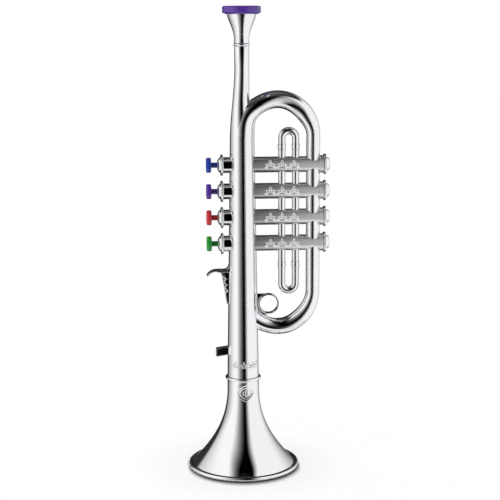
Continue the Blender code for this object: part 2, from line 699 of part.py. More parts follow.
def valve_top_cap(carrier, colour, height):
    """Cap on the button side: a dome, a flange and a spigot in the casing's bore."""
    hole = STEM_RADIUS + JOINT_GAP
    flange_end = TOP_CAP_DOME_HEIGHT + TOP_CAP_FLANGE_THICKNESS
    spigot = CASING_BORE - JOINT_GAP
    spigot_end = flange_end + JOINT_GAP + TOP_CAP_SPIGOT
    half = TOP_CAP_FLANGE_THICKNESS / 2
    outline = [(hole, 0), (TOP_CAP_CROWN_RADIUS, 0), (TOP_CAP_DOME_RADIUS, TOP_CAP_DOME_HEIGHT)]
    outline += [(TOP_CAP_FLANGE_RADIUS - half, TOP_CAP_DOME_HEIGHT)]
    outline += [(TOP_CAP_FLANGE_RADIUS, TOP_CAP_DOME_HEIGHT + half)]
    outline += [(TOP_CAP_FLANGE_RADIUS - half, flange_end), (spigot, flange_end), (spigot, spigot_end)]
    outline += [(hole, spigot_end)]
    made = turned("valve_top_cap_" + colour, outline, VALVE_SIDES)
    finish(made, CHROME, carrier, (-CASING_LEFT_REACH - JOINT_GAP - flange_end, 0, height), TO_RIGHT)


def valve_end_cap(carrier, colour, height):
    """Cap on the far end of a casing: a spigot, a flange and a low crown."""
    spigot = CASING_BORE - JOINT_GAP
    flange_start = END_CAP_SPIGOT + JOINT_GAP
    flange_end = flange_start + END_CAP_FLANGE_THICKNESS
    half = END_CAP_FLANGE_THICKNESS / 2
    chain = [(0, 0), (spigot, 0), (spigot, flange_start), (END_CAP_FLANGE_RADIUS - half, flange_start)]
    chain += [(END_CAP_FLANGE_RADIUS, flange_start + half), (END_CAP_FLANGE_RADIUS - half, flange_end)]
    chain += [(END_CAP_RADIUS, flange_end), (END_CAP_CROWN_RADIUS, flange_end + END_CAP_HEIGHT)]
    chain += [(0, flange_end + END_CAP_HEIGHT)]
    made = turned("valve_end_cap_" + colour, chain, VALVE_SIDES, solid=True)
    finish(made, CHROME, carrier, (CASING_RIGHT_REACH - END_CAP_SPIGOT, 0, height), TO_RIGHT)


def reed_holder(carrier, colour, height):
    """Plug in the casing that sends the air past the reed."""
    radius = CASING_BORE - JOINT_GAP
    made = cylinder("reed_holder_" + colour, radius, 0, HOLDER_LENGTH, VALVE_SIDES)
    place(made, (0, 0, 0), TO_RIGHT)
    side = HOLDER_TROUGH_HALF_WIDTH
    low = (-CUT_OVERRUN, -side, 0)
    high = (HOLDER_LENGTH - HOLDER_END_WALL, side, radius + CUT_OVERRUN)
    combine(made, [box("trough", low, high)], "DIFFERENCE")
    side = HOLDER_SLOT_HALF_WIDTH
    low = (HOLDER_SLOT_MARGIN, -side, -HOLDER_CHANNEL_DEPTH)
    high = (HOLDER_LENGTH - HOLDER_SLOT_MARGIN, side, CUT_OVERRUN)
    channel = box("slot", low, high)
    low = (HOLDER_SLOT_MARGIN, -side, -HOLDER_CHANNEL_DEPTH)
    high = (HOLDER_LENGTH + CUT_OVERRUN, side, -HOLDER_CHANNEL_DEPTH + HOLDER_CHANNEL_HEIGHT)
    combine(made, [channel, box("channel", low, high)], "DIFFERENCE")
    finish(made, GREY_PLASTIC, carrier, (HOLDER_START_X, 0, height))


def reed(carrier, colour, height, tongue):
    """Brass reed plate with a tongue that is free on three sides."""
    made = box("reed_" + colour, (0, -REED_HALF_WIDTH, 0), (REED_LENGTH, REED_HALF_WIDTH, REED_THICKNESS))
    start = (REED_LENGTH - tongue) / 2
    cuts = []
    for side in (-1, 1):
        inner = side * REED_TONGUE_HALF_WIDTH
        outer = side * (REED_TONGUE_HALF_WIDTH + REED_CUT)
        low = (start, min(inner, outer), -CUT_OVERRUN)
        high = (start + tongue, max(inner, outer), CUT_OVERRUN)
        cuts.append(box("cut", low, high))
    across = REED_TONGUE_HALF_WIDTH + REED_CUT
    end = start + tongue
    cuts.append(box("cut", (end - REED_CUT, -across, -CUT_OVERRUN), (end, across, CUT_OVERRUN)))
    combine(made, cuts, "DIFFERENCE")
    margin = (HOLDER_LENGTH - HOLDER_END_WALL - REED_LENGTH) / 2
    finish(made, BRASS, carrier, (HOLDER_START_X + margin, 0, height + JOINT_GAP))


def chamber_plug(carrier):
    """Plug across the body below the valves, so that the air must pass a reed."""
    bottom = PLUG_TOP_Z - PLUG_THICKNESS
    low = taper_radius(bottom) - MOULD_WALL - JOINT_GAP
    high = taper_radius(PLUG_TOP_Z) - MOULD_WALL - JOINT_GAP
    chain = [(0, bottom), (low, bottom), (high, PLUG_TOP_Z), (0, PLUG_TOP_Z)]
    finish(turned("chamber_plug", chain, TUBE_SIDES, solid=True), BLACK_RUBBER, carrier)


def body_guard():
    """The body with a joint gap all round, to cut the pieces that are fixed to it."""
    return body_tube("guard", -JOINT_GAP, SHOULDER_Z, TUBE_MOUTH_Z)


def finger_ring(carrier):
    """Ring for a finger, on a web in the corner of the body and the lower bend."""
    centre = (FINGER_RING_X, 0, FINGER_RING_Z)
    upright = (math.pi / 2, 0, 0)
    half = FINGER_RING_DEPTH / 2
    made = place(cylinder("finger_ring", FINGER_RING_RADIUS, -half, half, FINGER_RING_SIDES), centre, upright)
    foot = LOOP_BOTTOM_CENTRE_Z - FINGER_WEB_FOOT_SHARE * LOOP_TURN_RADIUS
    web = [(0, FINGER_WEB_TOP_Z), (FINGER_WEB_REACH, FINGER_WEB_TOP_Z), (FINGER_WEB_REACH, foot), (0, foot)]
    combine(made, [extruded("web", web, FINGER_WEB_DEPTH)], "UNION")
    past = half + CUT_OVERRUN
    bore = place(cylinder("bore", FINGER_RING_BORE, -past, past, FINGER_RING_SIDES), centre, upright)
    guard = flatten_faces(combine(body_guard(), [loop_tube("guard", -JOINT_GAP, 0, LOOP_SIDES)], "UNION"))
    combine(flatten_faces(made), [bore, guard], "DIFFERENCE")
    finish(made, CHROME, carrier)


def hook_arm():
    """(x, z) outline of the arm: fillet at the body, a straight top and a curl down to the tip."""
    curl = (-HOOK_ARM_REACH, HOOK_ARM_Z - HOOK_CURL_RADIUS)
    turn = math.degrees(HOOK_CURL_ANGLE)
    root = -taper_radius(HOOK_ARM_Z)
    fillet_centre = (root - HOOK_ROOT_FILLET, HOOK_ARM_Z + HOOK_ROOT_FILLET)
    points = [(0, HOOK_ARM_Z + HOOK_ROOT_FILLET)]
    points += arc(fillet_centre, HOOK_ROOT_FILLET, 0, -90, HOOK_FILLET_STEPS)
    points += arc(curl, HOOK_CURL_RADIUS, 90, 90 + turn, HOOK_CURL_STEPS)
    inner = HOOK_CURL_RADIUS - HOOK_TIP_THICKNESS
    points += arc(curl, inner, 90 + turn, 90, HOOK_CURL_STEPS)[:-1]
    points += [(-HOOK_ARM_REACH, HOOK_ARM_Z - HOOK_ARM_THICKNESS), (0, HOOK_ARM_Z - HOOK_ARM_THICKNESS)]
    return points


def hook_rib():
    """(x, z) outline of the rib below the arm, which tapers down into the body."""
    points = [(0, HOOK_ARM_Z - HOOK_ARM_THICKNESS / 2)]
    shoulder_radius = HOOK_ARM_REACH - HOOK_RIB_SHOULDER_X
    top = HOOK_ARM_Z - HOOK_ARM_THICKNESS
    centre = (-HOOK_ARM_REACH, top - shoulder_radius)
    points += [(-HOOK_ARM_REACH, HOOK_ARM_Z - HOOK_ARM_THICKNESS / 2)]
    points += arc(centre, shoulder_radius, 90, 0, HOOK_FILLET_STEPS)
    tip = taper_radius(HOOK_RIB_TIP_Z) + HOOK_RIB_TIP_STANDING
    points += [(-HOOK_RIB_WAIST_X, HOOK_RIB_WAIST_Z), (-tip, HOOK_RIB_TIP_Z), (0, HOOK_RIB_TIP_Z)]
    return points


def finger_hook(carrier):
    """Hook for the little finger, on a rib along the body."""
    made = extruded("finger_hook", hook_arm(), HOOK_ARM_DEPTH)
    combine(made, [extruded("rib", hook_rib(), HOOK_RIB_DEPTH)], "UNION")
    combine(made, [body_guard()], "DIFFERENCE")
    finish(made, CHROME, carrier)


def clip_lug(carrier):
    """Sloping lug for a music clip, with a shallow recess in each side."""
    drop = math.tan(LUG_SLOPE)
    half = LUG_HEIGHT / 2

    def side_outline(inner, outer, margin):
        top = half - margin
        return [(-x, LUG_ROOT_Z - (x - TUBE_BOTTOM_RADIUS) * drop + z)
                for x, z in ((inner, top), (outer, top), (outer, -top), (inner, -top))]

    made = extruded("clip_lug", side_outline(0, LUG_REACH, 0), LUG_DEPTH)
    panel_start = TUBE_BOTTOM_RADIUS + LUG_BACK_WALL
    for side in (-1, 1):
        panel = extruded("panel", side_outline(panel_start, LUG_REACH - LUG_LIP, LUG_LIP), LUG_DEPTH)
        combine(made, [place(panel, (0, side * (LUG_DEPTH - LUG_RECESS), 0))], "DIFFERENCE")
    combine(made, [body_guard()], "DIFFERENCE")
    finish(made, CHROME, carrier)


def valve(carrier, index, colour):
    """One valve: button, washer, spring, pad, both caps, and the reed in its holder."""
    height = VALVE_HEIGHTS[index]
    button(carrier, colour, height)
    stem_washer(carrier, colour, height)
    button_spring(carrier, colour, height)
    valve_pad(carrier, colour, height)
    valve_top_cap(carrier, colour, height)
    valve_end_cap(carrier, colour, height)
    reed_holder(carrier, colour, height)
    reed(carrier, colour, height, REED_TONGUE_LENGTH - REED_TONGUE_STEP * index)


def main():
    """Build the trumpet on an empty that puts the middle of its outline over the origin."""
    clear_scene()
    carrier = bpy.data.objects.new("trumpet_axis", None)
    bpy.context.scene.collection.objects.link(carrier)
    carrier.location = (AXIS_X, 0, 0)
    body_shells(carrier)
    bell(carrier)
    mouthpiece(carrier)
    mouthpiece_rim(carrier)
    for index, colour in enumerate(VALVE_NAMES):
        valve(carrier, index, colour)
    chamber_plug(carrier)
    finger_ring(carrier)
    finger_hook(carrier)
    clip_lug(carrier)
    bpy.context.view_layer.update()


main()
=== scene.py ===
"""Toy trumpet in mirror-bright plated plastic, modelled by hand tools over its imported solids.

Metres, +Z up. The trumpet stands on the rim of its bell, and its buttons point toward -X.
"""

import math

import bpy
from mathutils import Matrix, Vector


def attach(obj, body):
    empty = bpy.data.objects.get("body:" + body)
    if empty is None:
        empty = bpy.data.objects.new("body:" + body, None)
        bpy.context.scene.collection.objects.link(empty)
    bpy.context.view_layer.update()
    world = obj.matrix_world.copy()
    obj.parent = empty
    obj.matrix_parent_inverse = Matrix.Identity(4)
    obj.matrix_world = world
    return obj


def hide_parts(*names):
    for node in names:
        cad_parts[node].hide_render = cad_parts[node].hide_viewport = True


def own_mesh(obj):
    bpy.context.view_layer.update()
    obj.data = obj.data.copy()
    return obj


bl_info = {
    "name": "Toy Trumpet",
    "version": (1, 0, 0),
    "blender": (4, 5, 0),
    "location": "3D View > Sidebar > Trumpet",
    "description": "Models a plated toy trumpet with four coloured buttons over its solids",
    "category": "Object",
}

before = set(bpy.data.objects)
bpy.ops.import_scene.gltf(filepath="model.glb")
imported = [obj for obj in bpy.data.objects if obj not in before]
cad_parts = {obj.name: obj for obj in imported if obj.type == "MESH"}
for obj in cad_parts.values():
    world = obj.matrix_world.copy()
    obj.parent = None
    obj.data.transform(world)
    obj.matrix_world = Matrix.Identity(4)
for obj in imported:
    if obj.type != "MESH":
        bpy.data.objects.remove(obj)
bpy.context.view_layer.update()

MM = 0.001
VALVES = ("blue", "purple", "red", "green")
BUTTON_FACE_X = -28.5 * MM
MAIN_BODY = "trumpet"

# Places, measured from the upright axis of the bell, which stands at AXIS_X
AXIS_X = -12.25 * MM
VALVE_TOP_Z = 246.8 * MM
VALVE_PITCH = 20.9 * MM
LOOP_X = 28.2 * MM
LOOP_TOP_Z = 269.9 * MM
LOOP_FOOT_Z = 144.0 * MM
ARCH_TWIST = 1.9 * MM
SLIDE_X = 36.95 * MM
SLIDE_TOP_Z = 267.9 * MM
SLIDE_FOOT_Z = 150.8 * MM
SLIDE_TURN = 5.5 * MM
TUBE_FOOT_Z = 75.7 * MM
TUBE_FLARE_Z = 264.0 * MM
TUBE_MOUTH_Z = 339.2 * MM
SWELL_LEFT_TOP_Z = 323.0 * MM
SWELL_RIGHT_TOP_Z = 301.0 * MM
RIM_TOP_Z = 370.0 * MM
RIM_FOOT_Z = 364.9 * MM
CUP_TOP_Z = 363.4 * MM
CUP_SEAT_Z = 339.5 * MM
CASING_LEFT = -15.0 * MM
CASING_RIGHT = 64.4 * MM
SEAT_X = 12.0 * MM
PARTING = 0.05 * MM

AXES = {"X": Vector((1, 0, 0)), "Y": Vector((0, 1, 0)), "Z": Vector((0, 0, 1))}
AXIS_TURNS = {"X": (0, math.pi / 2, 0), "Y": (-math.pi / 2, 0, 0), "Z": (0, 0, 0)}


# Settings


class TrumpetSizes(bpy.types.PropertyGroup):
    """Sizes of the trumpet's own pieces."""

    bell_radius: bpy.props.FloatProperty(
        name="Bell radius", description="Radius of the bell's rim", default=44.7 * MM, unit="LENGTH")
    throat_radius: bpy.props.FloatProperty(
        name="Throat radius", description="Radius of the bell where its flare starts", default=12.75 * MM,
        unit="LENGTH")
    roll_radius: bpy.props.FloatProperty(
        name="Rim roll", description="Radius of the roll round the bell's rim", default=2.1 * MM,
        unit="LENGTH")
    tube_foot_radius: bpy.props.FloatProperty(
        name="Tube foot radius", description="Radius of the tapered tube above the bell", default=12.68 * MM,
        unit="LENGTH")
    tube_top_radius: bpy.props.FloatProperty(
        name="Tube top radius", description="Radius of the tapered tube below the loop", default=9.7 * MM,
        unit="LENGTH")
    mouth_radius: bpy.props.FloatProperty(
        name="Mouth tube radius", description="Radius of the tube that takes the mouthpiece",
        default=5.8 * MM, unit="LENGTH")
    wall: bpy.props.FloatProperty(
        name="Wall", description="Thickness of the moulded walls", default=1.5 * MM, unit="LENGTH")
    casing_radius: bpy.props.FloatProperty(
        name="Casing radius", description="Outer radius of a valve casing", default=6.25 * MM, unit="LENGTH")
    bore_radius: bpy.props.FloatProperty(
        name="Casing bore", description="Inner radius of a valve casing", default=4.9 * MM, unit="LENGTH")
    loop_radius: bpy.props.FloatProperty(
        name="Loop tube radius", description="Radius of the loop's tube in its straight leg",
        default=5.45 * MM, unit="LENGTH")
    slide_radius: bpy.props.FloatProperty(
        name="Slide tube radius", description="Radius of the thin inner slide", default=2.9 * MM,
        unit="LENGTH")
    button_radius: bpy.props.FloatProperty(
        name="Button radius", description="Radius of a button's head", default=5.9 * MM, unit="LENGTH")
    stem_radius: bpy.props.FloatProperty(
        name="Stem radius", description="Radius of a button's stem", default=2.1 * MM, unit="LENGTH")


class TrumpetFinish(bpy.types.PropertyGroup):
    """Colours and polish of the trumpet's pieces."""

    plating: bpy.props.FloatVectorProperty(
        name="Plating", description="Colour that the plating reflects", subtype="COLOR",
        default=(0.93, 0.935, 0.95), min=0, max=1)
    plating_roughness: bpy.props.FloatProperty(
        name="Plating roughness", description="How dull the plating is", subtype="FACTOR", default=0.03,
        min=0, max=1)
    rim: bpy.props.FloatVectorProperty(
        name="Mouthpiece rim", description="Colour of the mouthpiece's rim", subtype="COLOR",
        default=(0.075, 0.022, 0.27), min=0, max=1)
    blue: bpy.props.FloatVectorProperty(
        name="First button", description="Colour of the highest button", subtype="COLOR",
        default=(0.0095, 0.038, 0.335), min=0, max=1)
    purple: bpy.props.FloatVectorProperty(
        name="Second button", description="Colour of the second button", subtype="COLOR",
        default=(0.080, 0.021, 0.305), min=0, max=1)
    red: bpy.props.FloatVectorProperty(
        name="Third button", description="Colour of the third button", subtype="COLOR",
        default=(0.56, 0.022, 0.032), min=0, max=1)
    green: bpy.props.FloatVectorProperty(
        name="Fourth button", description="Colour of the lowest button", subtype="COLOR",
        default=(0.009, 0.29, 0.027), min=0, max=1)


# Hand tools


def deselect():
    """Leave nothing selected, because an operator acts on all that is."""
    bpy.ops.object.select_all(action="DESELECT")


def pick(*pieces):
    """Select these pieces alone, the first one active."""
    deselect()
    for piece in pieces:
        piece.select_set(True)
    bpy.context.view_layer.objects.active = pieces[0]


def edit(piece):
    """Open a piece for editing with all of it selected."""
    pick(piece)
    bpy.ops.object.mode_set(mode="EDIT")
    bpy.ops.mesh.select_mode(type="VERT")
    bpy.ops.mesh.select_all(action="SELECT")


def close():
    """Leave edit mode."""
    bpy.ops.object.mode_set(mode="OBJECT")


def apply_place(piece):
    """Move a piece's place into its mesh."""
    pick(piece)
    bpy.ops.object.transform_apply(location=True, rotation=True, scale=True)


def tidy(piece, angle=35):
    """Merge doubled points, turn the faces outward and shade them smooth up to an angle."""
    edit(piece)
    bpy.ops.mesh.remove_doubles(threshold=0.000001)
    bpy.ops.mesh.normals_make_consistent(inside=False)
    close()
    bpy.ops.object.shade_smooth_by_angle(angle=math.radians(angle))
    return piece


def select_open_rings():
    """Select the open borders of the mesh in edit mode."""
    bpy.ops.mesh.select_all(action="DESELECT")
    bpy.ops.mesh.select_non_manifold(
        extend=False, use_wire=True, use_boundary=True, use_multi_face=False, use_non_contiguous=False,
        use_verts=False)


def lathe(name, outline, axis="Z", middle=(AXIS_X, 0, 0), sides=96, ends="BRIDGE"):
    """Turn an outline of (radius, along) or (radius, along, shift) by extruding ring after ring.

    The ends of the outline are bridged to each other, or each is closed with a flat face.
    """
    line = AXES[axis]
    stations = [(*place, 0)[:3] for place in outline]
    radius, along, shift = stations[0]
    start = Vector(middle) + line * along + AXES["X"] * shift
    deselect()
    bpy.ops.mesh.primitive_circle_add(
        vertices=sides, radius=radius, fill_type="NOTHING", location=start, rotation=AXIS_TURNS[axis])
    piece = bpy.context.object
    piece.name = piece.data.name = name
    apply_place(piece)
    edit(piece)
    for before, after in zip(stations, stations[1:]):
        step = line * (after[1] - before[1]) + AXES["X"] * (after[2] - before[2])
        bpy.ops.mesh.extrude_edges_move(TRANSFORM_OT_translate={"value": step})
        share = after[0] / before[0]
        centre = Vector(middle) + line * after[1] + AXES["X"] * after[2]
        scale = [1 if item else share for item in line]
        bpy.ops.transform.resize(value=scale, center_override=centre)
    select_open_rings()
    if ends == "BRIDGE":
        bpy.ops.mesh.bridge_edge_loops()
    else:
        bpy.ops.mesh.fill_holes(sides=0)
    close()
    return tidy(piece)


def drawn_line(name, places, cyclic, dimensions="3D"):
    """A curve of straight parts through places."""
    deselect()
    bpy.ops.curve.primitive_nurbs_path_add()
    piece = bpy.context.object
    piece.name = name
    piece.data.dimensions = dimensions
    piece.data.splines.clear()
    path = piece.data.splines.new("POLY")
    path.points.add(len(places) - 1)
    for point, place in zip(path.points, places):
        point.co = (*place, 1)
    path.use_cyclic_u = cyclic
    return piece.data


def converted(name, turn=0):
    """The active curve as a mesh, turned round X by an angle."""
    bpy.ops.object.convert(target="MESH")
    piece = bpy.context.object
    piece.data.name = name
    piece.rotation_euler = (turn, 0, 0)
    apply_place(piece)
    return piece


def pipe(name, stations, fineness=10, cyclic=False, angle=35):
    """A round tube along (place, radius) stations, from a curve with a round bevel."""
    curve = drawn_line(name, [place for place, radius in stations], cyclic)
    for point, (place, radius) in zip(curve.splines[0].points, stations):
        point.radius = radius / MM
    curve.bevel_depth = MM
    curve.bevel_resolution = fineness
    curve.use_fill_caps = not cyclic
    return tidy(converted(name), angle)


def plate(name, outline, depth, rounding):
    """A plate with an (x, z) outline and rounded edges, centred on the plane of the loop."""
    curve = drawn_line(name, [(*place, 0) for place in outline], True, "2D")
    curve.fill_mode = "BOTH"
    curve.extrude = depth / 2 - rounding
    curve.bevel_depth = rounding
    curve.bevel_resolution = 2
    curve.offset = -rounding
    return tidy(converted(name, math.pi / 2))


def band(inner, outer, reach, edge):
    """Outline of a band from one radius to another, with its four edges taken off."""
    return [(inner + edge, -reach), (outer - edge, -reach), (outer, -reach + edge), (outer, reach - edge),
            (outer - edge, reach), (inner + edge, reach), (inner, reach - edge), (inner, -reach + edge)]


def joined(name, pieces):
    """Join pieces into the first one."""
    pick(*pieces)
    if len(pieces) > 1:
        bpy.ops.object.join()
    piece = bpy.context.object
    piece.name = piece.data.name = name
    return piece


def cut_away(piece, tool):
    """Cut a closed tool out of a piece."""
    pick(piece)
    bpy.ops.object.modifier_add(type="BOOLEAN")
    step = piece.modifiers[-1]
    step.operation = "DIFFERENCE"
    step.solver = "EXACT"
    step.object = tool
    bpy.ops.object.modifier_apply(modifier=step.name)


def half(piece, side):
    """A copy of one side of a piece, parted at the plane of the loop and closed there."""
    pick(piece)
    bpy.ops.object.duplicate()
    copy = bpy.context.object
    edit(copy)
    bpy.ops.mesh.bisect(
        plane_co=(0, side * PARTING, 0), plane_no=(0, side, 0), use_fill=True, clear_inner=True,
        threshold=0.0000001)
    close()
    return tidy(copy)


def wear(piece, *names):
    """Give a piece these finishes and no others."""
    piece.data.materials.clear()
    for name in names:
        piece.data.materials.append(finish(name))


def settle(piece, node, slot="chrome_plastic", body=MAIN_BODY):
    """Give a piece its finish, the body that it rides on, the node that it stands for and its slot."""
    wear(piece, slot)
    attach(piece, body)
    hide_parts(node)


def swapped(points):
    """Points with their two numbers changed over, for an arc drawn along a line that is turned round."""
    return [(across, along) for along, across in points]


def arc(centre, radius, start, end, steps):
    """Points of an arc, each a pair, from one angle in degrees to another."""
    points = []
    for index in range(steps + 1):
        angle = math.radians(start + (end - start) * index / steps)
        points.append((centre[0] + radius * math.cos(angle), centre[1] + radius * math.sin(angle)))
    return points


def ease(share):
    """Smooth step from 0 to 1."""
    share = min(max(share, 0), 1)
    return share * share * (3 - 2 * share)


def valve_height(colour):
    """Height of a valve's line."""
    return VALVE_TOP_Z - VALVE_PITCH * VALVES.index(colour)


def sizes():
    """The sizes that the scene holds."""
    return bpy.context.scene.trumpet_sizes


def finishes():
    """The colours and polish that the scene holds."""
    return bpy.context.scene.trumpet_finish


def taper_radius(height):
    """Radius of the straight taper of the body at a height."""
    share = (height - TUBE_FOOT_Z) / (TUBE_FLARE_Z - TUBE_FOOT_Z)
    return sizes().tube_foot_radius + (sizes().tube_top_radius - sizes().tube_foot_radius) * share


# Materials


class Tree:
    """The node tree of a material or of the world, with short ways to build it."""

    def __init__(self, owner):
        owner.use_nodes = True
        self.nodes = owner.node_tree.nodes
        self.links = owner.node_tree.links

    def fill(self, node, inputs):
        """Give inputs of a node, by name or number, their values or the outputs that feed them."""
        for key, item in inputs.items():
            if isinstance(item, bpy.types.NodeSocket):
                self.links.new(item, node.inputs[key])
            else:
                node.inputs[key].default_value = item
        return node

    def node(self, kind, inputs, **settings):
        """A new shader node with its settings and inputs."""
        made = self.nodes.new("ShaderNode" + kind)
        for name, value in settings.items():
            setattr(made, name, value)
        return self.fill(made, inputs)

    def place(self, kind="Object"):
        """Coordinates of the point that is shaded."""
        return self.node("TexCoord", {}).outputs[kind]

    def axes(self, kind="Object"):
        """The three coordinates of the point that is shaded."""
        return self.node("SeparateXYZ", {"Vector": self.place(kind)}).outputs

    def ray(self, kind):
        """1 for rays of a kind and 0 for others."""
        return self.node("LightPath", {}).outputs[kind]

    def noise(self, scale, detail, stretch=(1, 1, 1)):
        """Noise on Object coordinates."""
        mapping = self.node("Mapping", {"Vector": self.place(), "Scale": stretch})
        texture = {"Vector": mapping.outputs["Vector"], "Scale": scale, "Detail": detail}
        return self.node("TexNoise", texture).outputs["Fac"]

    def maths(self, operation, first, second=0):
        """One step of arithmetic on two sockets or values."""
        return self.node("Math", {0: first, 1: second}, operation=operation).outputs["Value"]

    def plus(self, first, second):
        """A sum."""
        return self.maths("ADD", first, second)

    def minus(self, first, second):
        """A difference."""
        return self.maths("SUBTRACT", first, second)

    def times(self, first, *others):
        """A product."""
        for item in others:
            first = self.maths("MULTIPLY", first, item)
        return first

    def mapped(self, source, start, end, low, high, interpolation="LINEAR"):
        """Map the range of a source from start to end to the range from low to high."""
        ranges = {"Value": source, "From Min": start, "From Max": end, "To Min": low, "To Max": high}
        return self.node("MapRange", ranges, interpolation_type=interpolation).outputs["Result"]

    def spread(self, source, low, high):
        """Map a noise's middle range to a range of values."""
        return self.mapped(source, 0.3, 0.7, low, high)

    def smooth(self, source, low, high):
        """Rise from 0 at the low value of a source to 1 at the high one."""
        return self.mapped(source, low, high, 0, 1, "SMOOTHSTEP")

    def ramp(self, source, low, high):
        """Rise from 0 at the low angle of a source, in degrees, to 1 at the high one."""
        return self.smooth(source, math.radians(low), math.radians(high))

    def lobe(self, source, rise_from, rise_to, fall_from, fall_to):
        """1 between the two middle angles of a source, in degrees, easing to 0 at the two outer ones."""
        return self.times(self.ramp(source, rise_from, rise_to), self.ramp(source, fall_to, fall_from))

    def tinted(self, colour, amount, source):
        """The colour, made a little darker and lighter by a noise."""
        dark = (*(item * (1 - amount) for item in colour), 1)
        light = (*(min(item * (1 + amount), 1) for item in colour), 1)
        return self.node("Mix", {"Factor": source, "A": dark, "B": light}, data_type="RGBA").outputs["Result"]

    def scaled(self, colour, share):
        """The colour times a share."""
        return self.node("VectorMath", {0: colour, "Scale": share}, operation="SCALE").outputs["Vector"]

    def painted_shading_along_x(self, colour, start, end):
        """The colour times a share that runs between two (place along X from the axis, share) pairs, which
        paints light and shade along X.
        """
        share = self.mapped(self.axes()["X"], AXIS_X + start[0], AXIS_X + end[0], start[1], end[1])
        return self.scaled(colour, share)

    def reach(self, centre):
        """Distance from a centre."""
        step = self.node("VectorMath", {0: self.place(), 1: centre}, operation="DISTANCE")
        return step.outputs["Value"]

    def bumped(self, source, distance):
        """A normal that is raised by a noise."""
        return self.node("Bump", {"Height": source, "Distance": distance, "Strength": 1}).outputs["Normal"]

    def mix(self, share, first, second):
        """One shader that passes into another."""
        return self.node("MixShader", {"Fac": share, 1: first, 2: second}).outputs["Shader"]

    def clear(self):
        """A shader that lets all light through."""
        return self.node("BsdfTransparent", {}).outputs["BSDF"]

    def show(self, shader):
        """Show a shader on the surface."""
        self.fill(self.nodes["Material Output"], {"Surface": shader})


def new_material(name, colour):
    """A material, its tree and its Principled surface."""
    made = bpy.data.materials.new(name)
    tree = Tree(made)
    return made, tree, tree.fill(tree.nodes["Principled BSDF"], {"Base Color": (*colour, 1)})


def plated(name, colour, roughness):
    """Bright plating over moulded plastic: faint waves of the moulding, haze and fine rub marks."""
    made, tree, surface = new_material(name, colour)
    haze = tree.noise(55, 4)
    tree.fill(surface, {
        "Metallic": 1,
        "Roughness": tree.spread(haze, roughness * 0.6, roughness * 1.7),
        "Base Color": tree.tinted(colour, 0.02, haze),
        "Normal": tree.bumped(tree.noise(70, 1.5), 0.00002),
    })
    return made


def satin(name, colour, roughness):
    """Plating over a turned surface with fine lines round a casing, with painted shade that greys it near the
    body.
    """
    made, tree, surface = new_material(name, colour)
    grain = tree.noise(1400, 3, (1, 0.25, 0.25))
    # Painted shade: the base colour falls from 0.97 far out along the casing to 0.55 near the body.
    near, far = (11.0 * MM, 0.55), (50.0 * MM, 0.97)
    tree.fill(surface, {
        "Metallic": 1,
        "Anisotropic": 0.85,
        "Tangent": tree.node("CombineXYZ", {"X": 1}).outputs["Vector"],
        "Roughness": tree.spread(grain, roughness * 0.92, roughness * 1.08),
        "Base Color": tree.painted_shading_along_x(tree.tinted(colour, 0.04, grain), near, far),
        "Normal": tree.bumped(grain, 0.000003),
    })
    return made


def moulded(name, colour, roughness, stem=False):
    """Coloured glossy plastic with a faint mould texture; on a button, painted light and shade make the face
    lighter and the stem darker.
    """
    made, tree, surface = new_material(name, colour)
    grain = tree.noise(900, 3)
    hue = tree.tinted(colour, 0.10, tree.noise(120, 2))
    # Painted light and shade on a button: the colour is raised at its face and darkened along its stem.
    if stem:
        hue = tree.painted_shading_along_x(hue, (BUTTON_FACE_X, 1.2), (-24.0 * MM, 0.45))
    tree.fill(surface, {
        "IOR": 1.53,
        "Coat Weight": 0.3,
        "Coat Roughness": 0.08,
        "Roughness": tree.spread(grain, roughness * 0.8, roughness * 1.25),
        "Base Color": hue,
        "Normal": tree.bumped(grain, 0.00001),
    })
    return made


def drawn_metal(name, colour, roughness):
    """Drawn or rolled metal with fine lines."""
    made, tree, surface = new_material(name, colour)
    lines = tree.noise(500, 4, (1, 12, 1))
    tree.fill(surface, {
        "Metallic": 1,
        "Roughness": tree.spread(lines, roughness * 0.7, roughness * 1.4),
        "Base Color": tree.tinted(colour, 0.08, lines),
        "Normal": tree.bumped(lines, 0.00001),
    })
    return made


def rubber(name, colour, roughness):
    """Matt rubber with a fine grain."""
    made, tree, surface = new_material(name, colour)
    grain = tree.noise(1500, 4)
    tree.fill(surface, {
        "Roughness": tree.spread(grain, roughness, roughness + 0.25),
        "Base Color": tree.tinted(colour, 0.25, grain),
        "Normal": tree.bumped(grain, 0.00003),
    })
    return made


def finish(name):
    """A finish of the trumpet, made when it is first asked for."""
    full_name = name + "_finish"
    found = bpy.data.materials.get(full_name)
    if found:
        return found
    plating = tuple(finishes().plating)
    makers = {
        "chrome_plastic": (plated, plating, finishes().plating_roughness),
        # Satin plating carries painted shade that darkens it near the body.
        "satin_chrome": (satin, plating, 0.36),
        # Near-black moulded finish that paints shade into the bell's groove and under its roll.
        "groove_shadow": (moulded, (0.02, 0.02, 0.022), 0.5),
        "raised_plating": (moulded, (0.85, 0.86, 0.87), 0.3),
        "grey_plastic": (moulded, (0.32, 0.33, 0.34), 0.5),
        "black_rubber": (rubber, (0.02, 0.02, 0.02), 0.65),
        "brass": (drawn_metal, (0.78, 0.57, 0.25), 0.25),
        "spring_steel": (drawn_metal, (0.55, 0.56, 0.58), 0.3),
        "purple_plastic": (moulded, tuple(finishes().rim), 0.22),
    }
    if name in makers:
        maker, colour, roughness = makers[name]
        return maker(full_name, colour, roughness)
    button = {"violet_plastic": "purple"}.get(name, name.split("_")[0])
    # Button finishes carry painted light and shade: lighter at the face, darker along the stem.
    return moulded(full_name, tuple(getattr(finishes(), button)), 0.22, stem=True)


# Pieces


def curl(centre, radius, start, turns):
    """Points of a line that curls in on itself, clockwise where the turns are negative."""
    points, steps = [], 18
    for index in range(steps + 1):
        share = index / steps
        angle = math.radians(start + 360 * turns * share)
        reach = radius * (1 - 0.75 * share)
        points.append((centre[0] + reach * math.cos(angle), centre[1] + reach * math.sin(angle)))
    return points


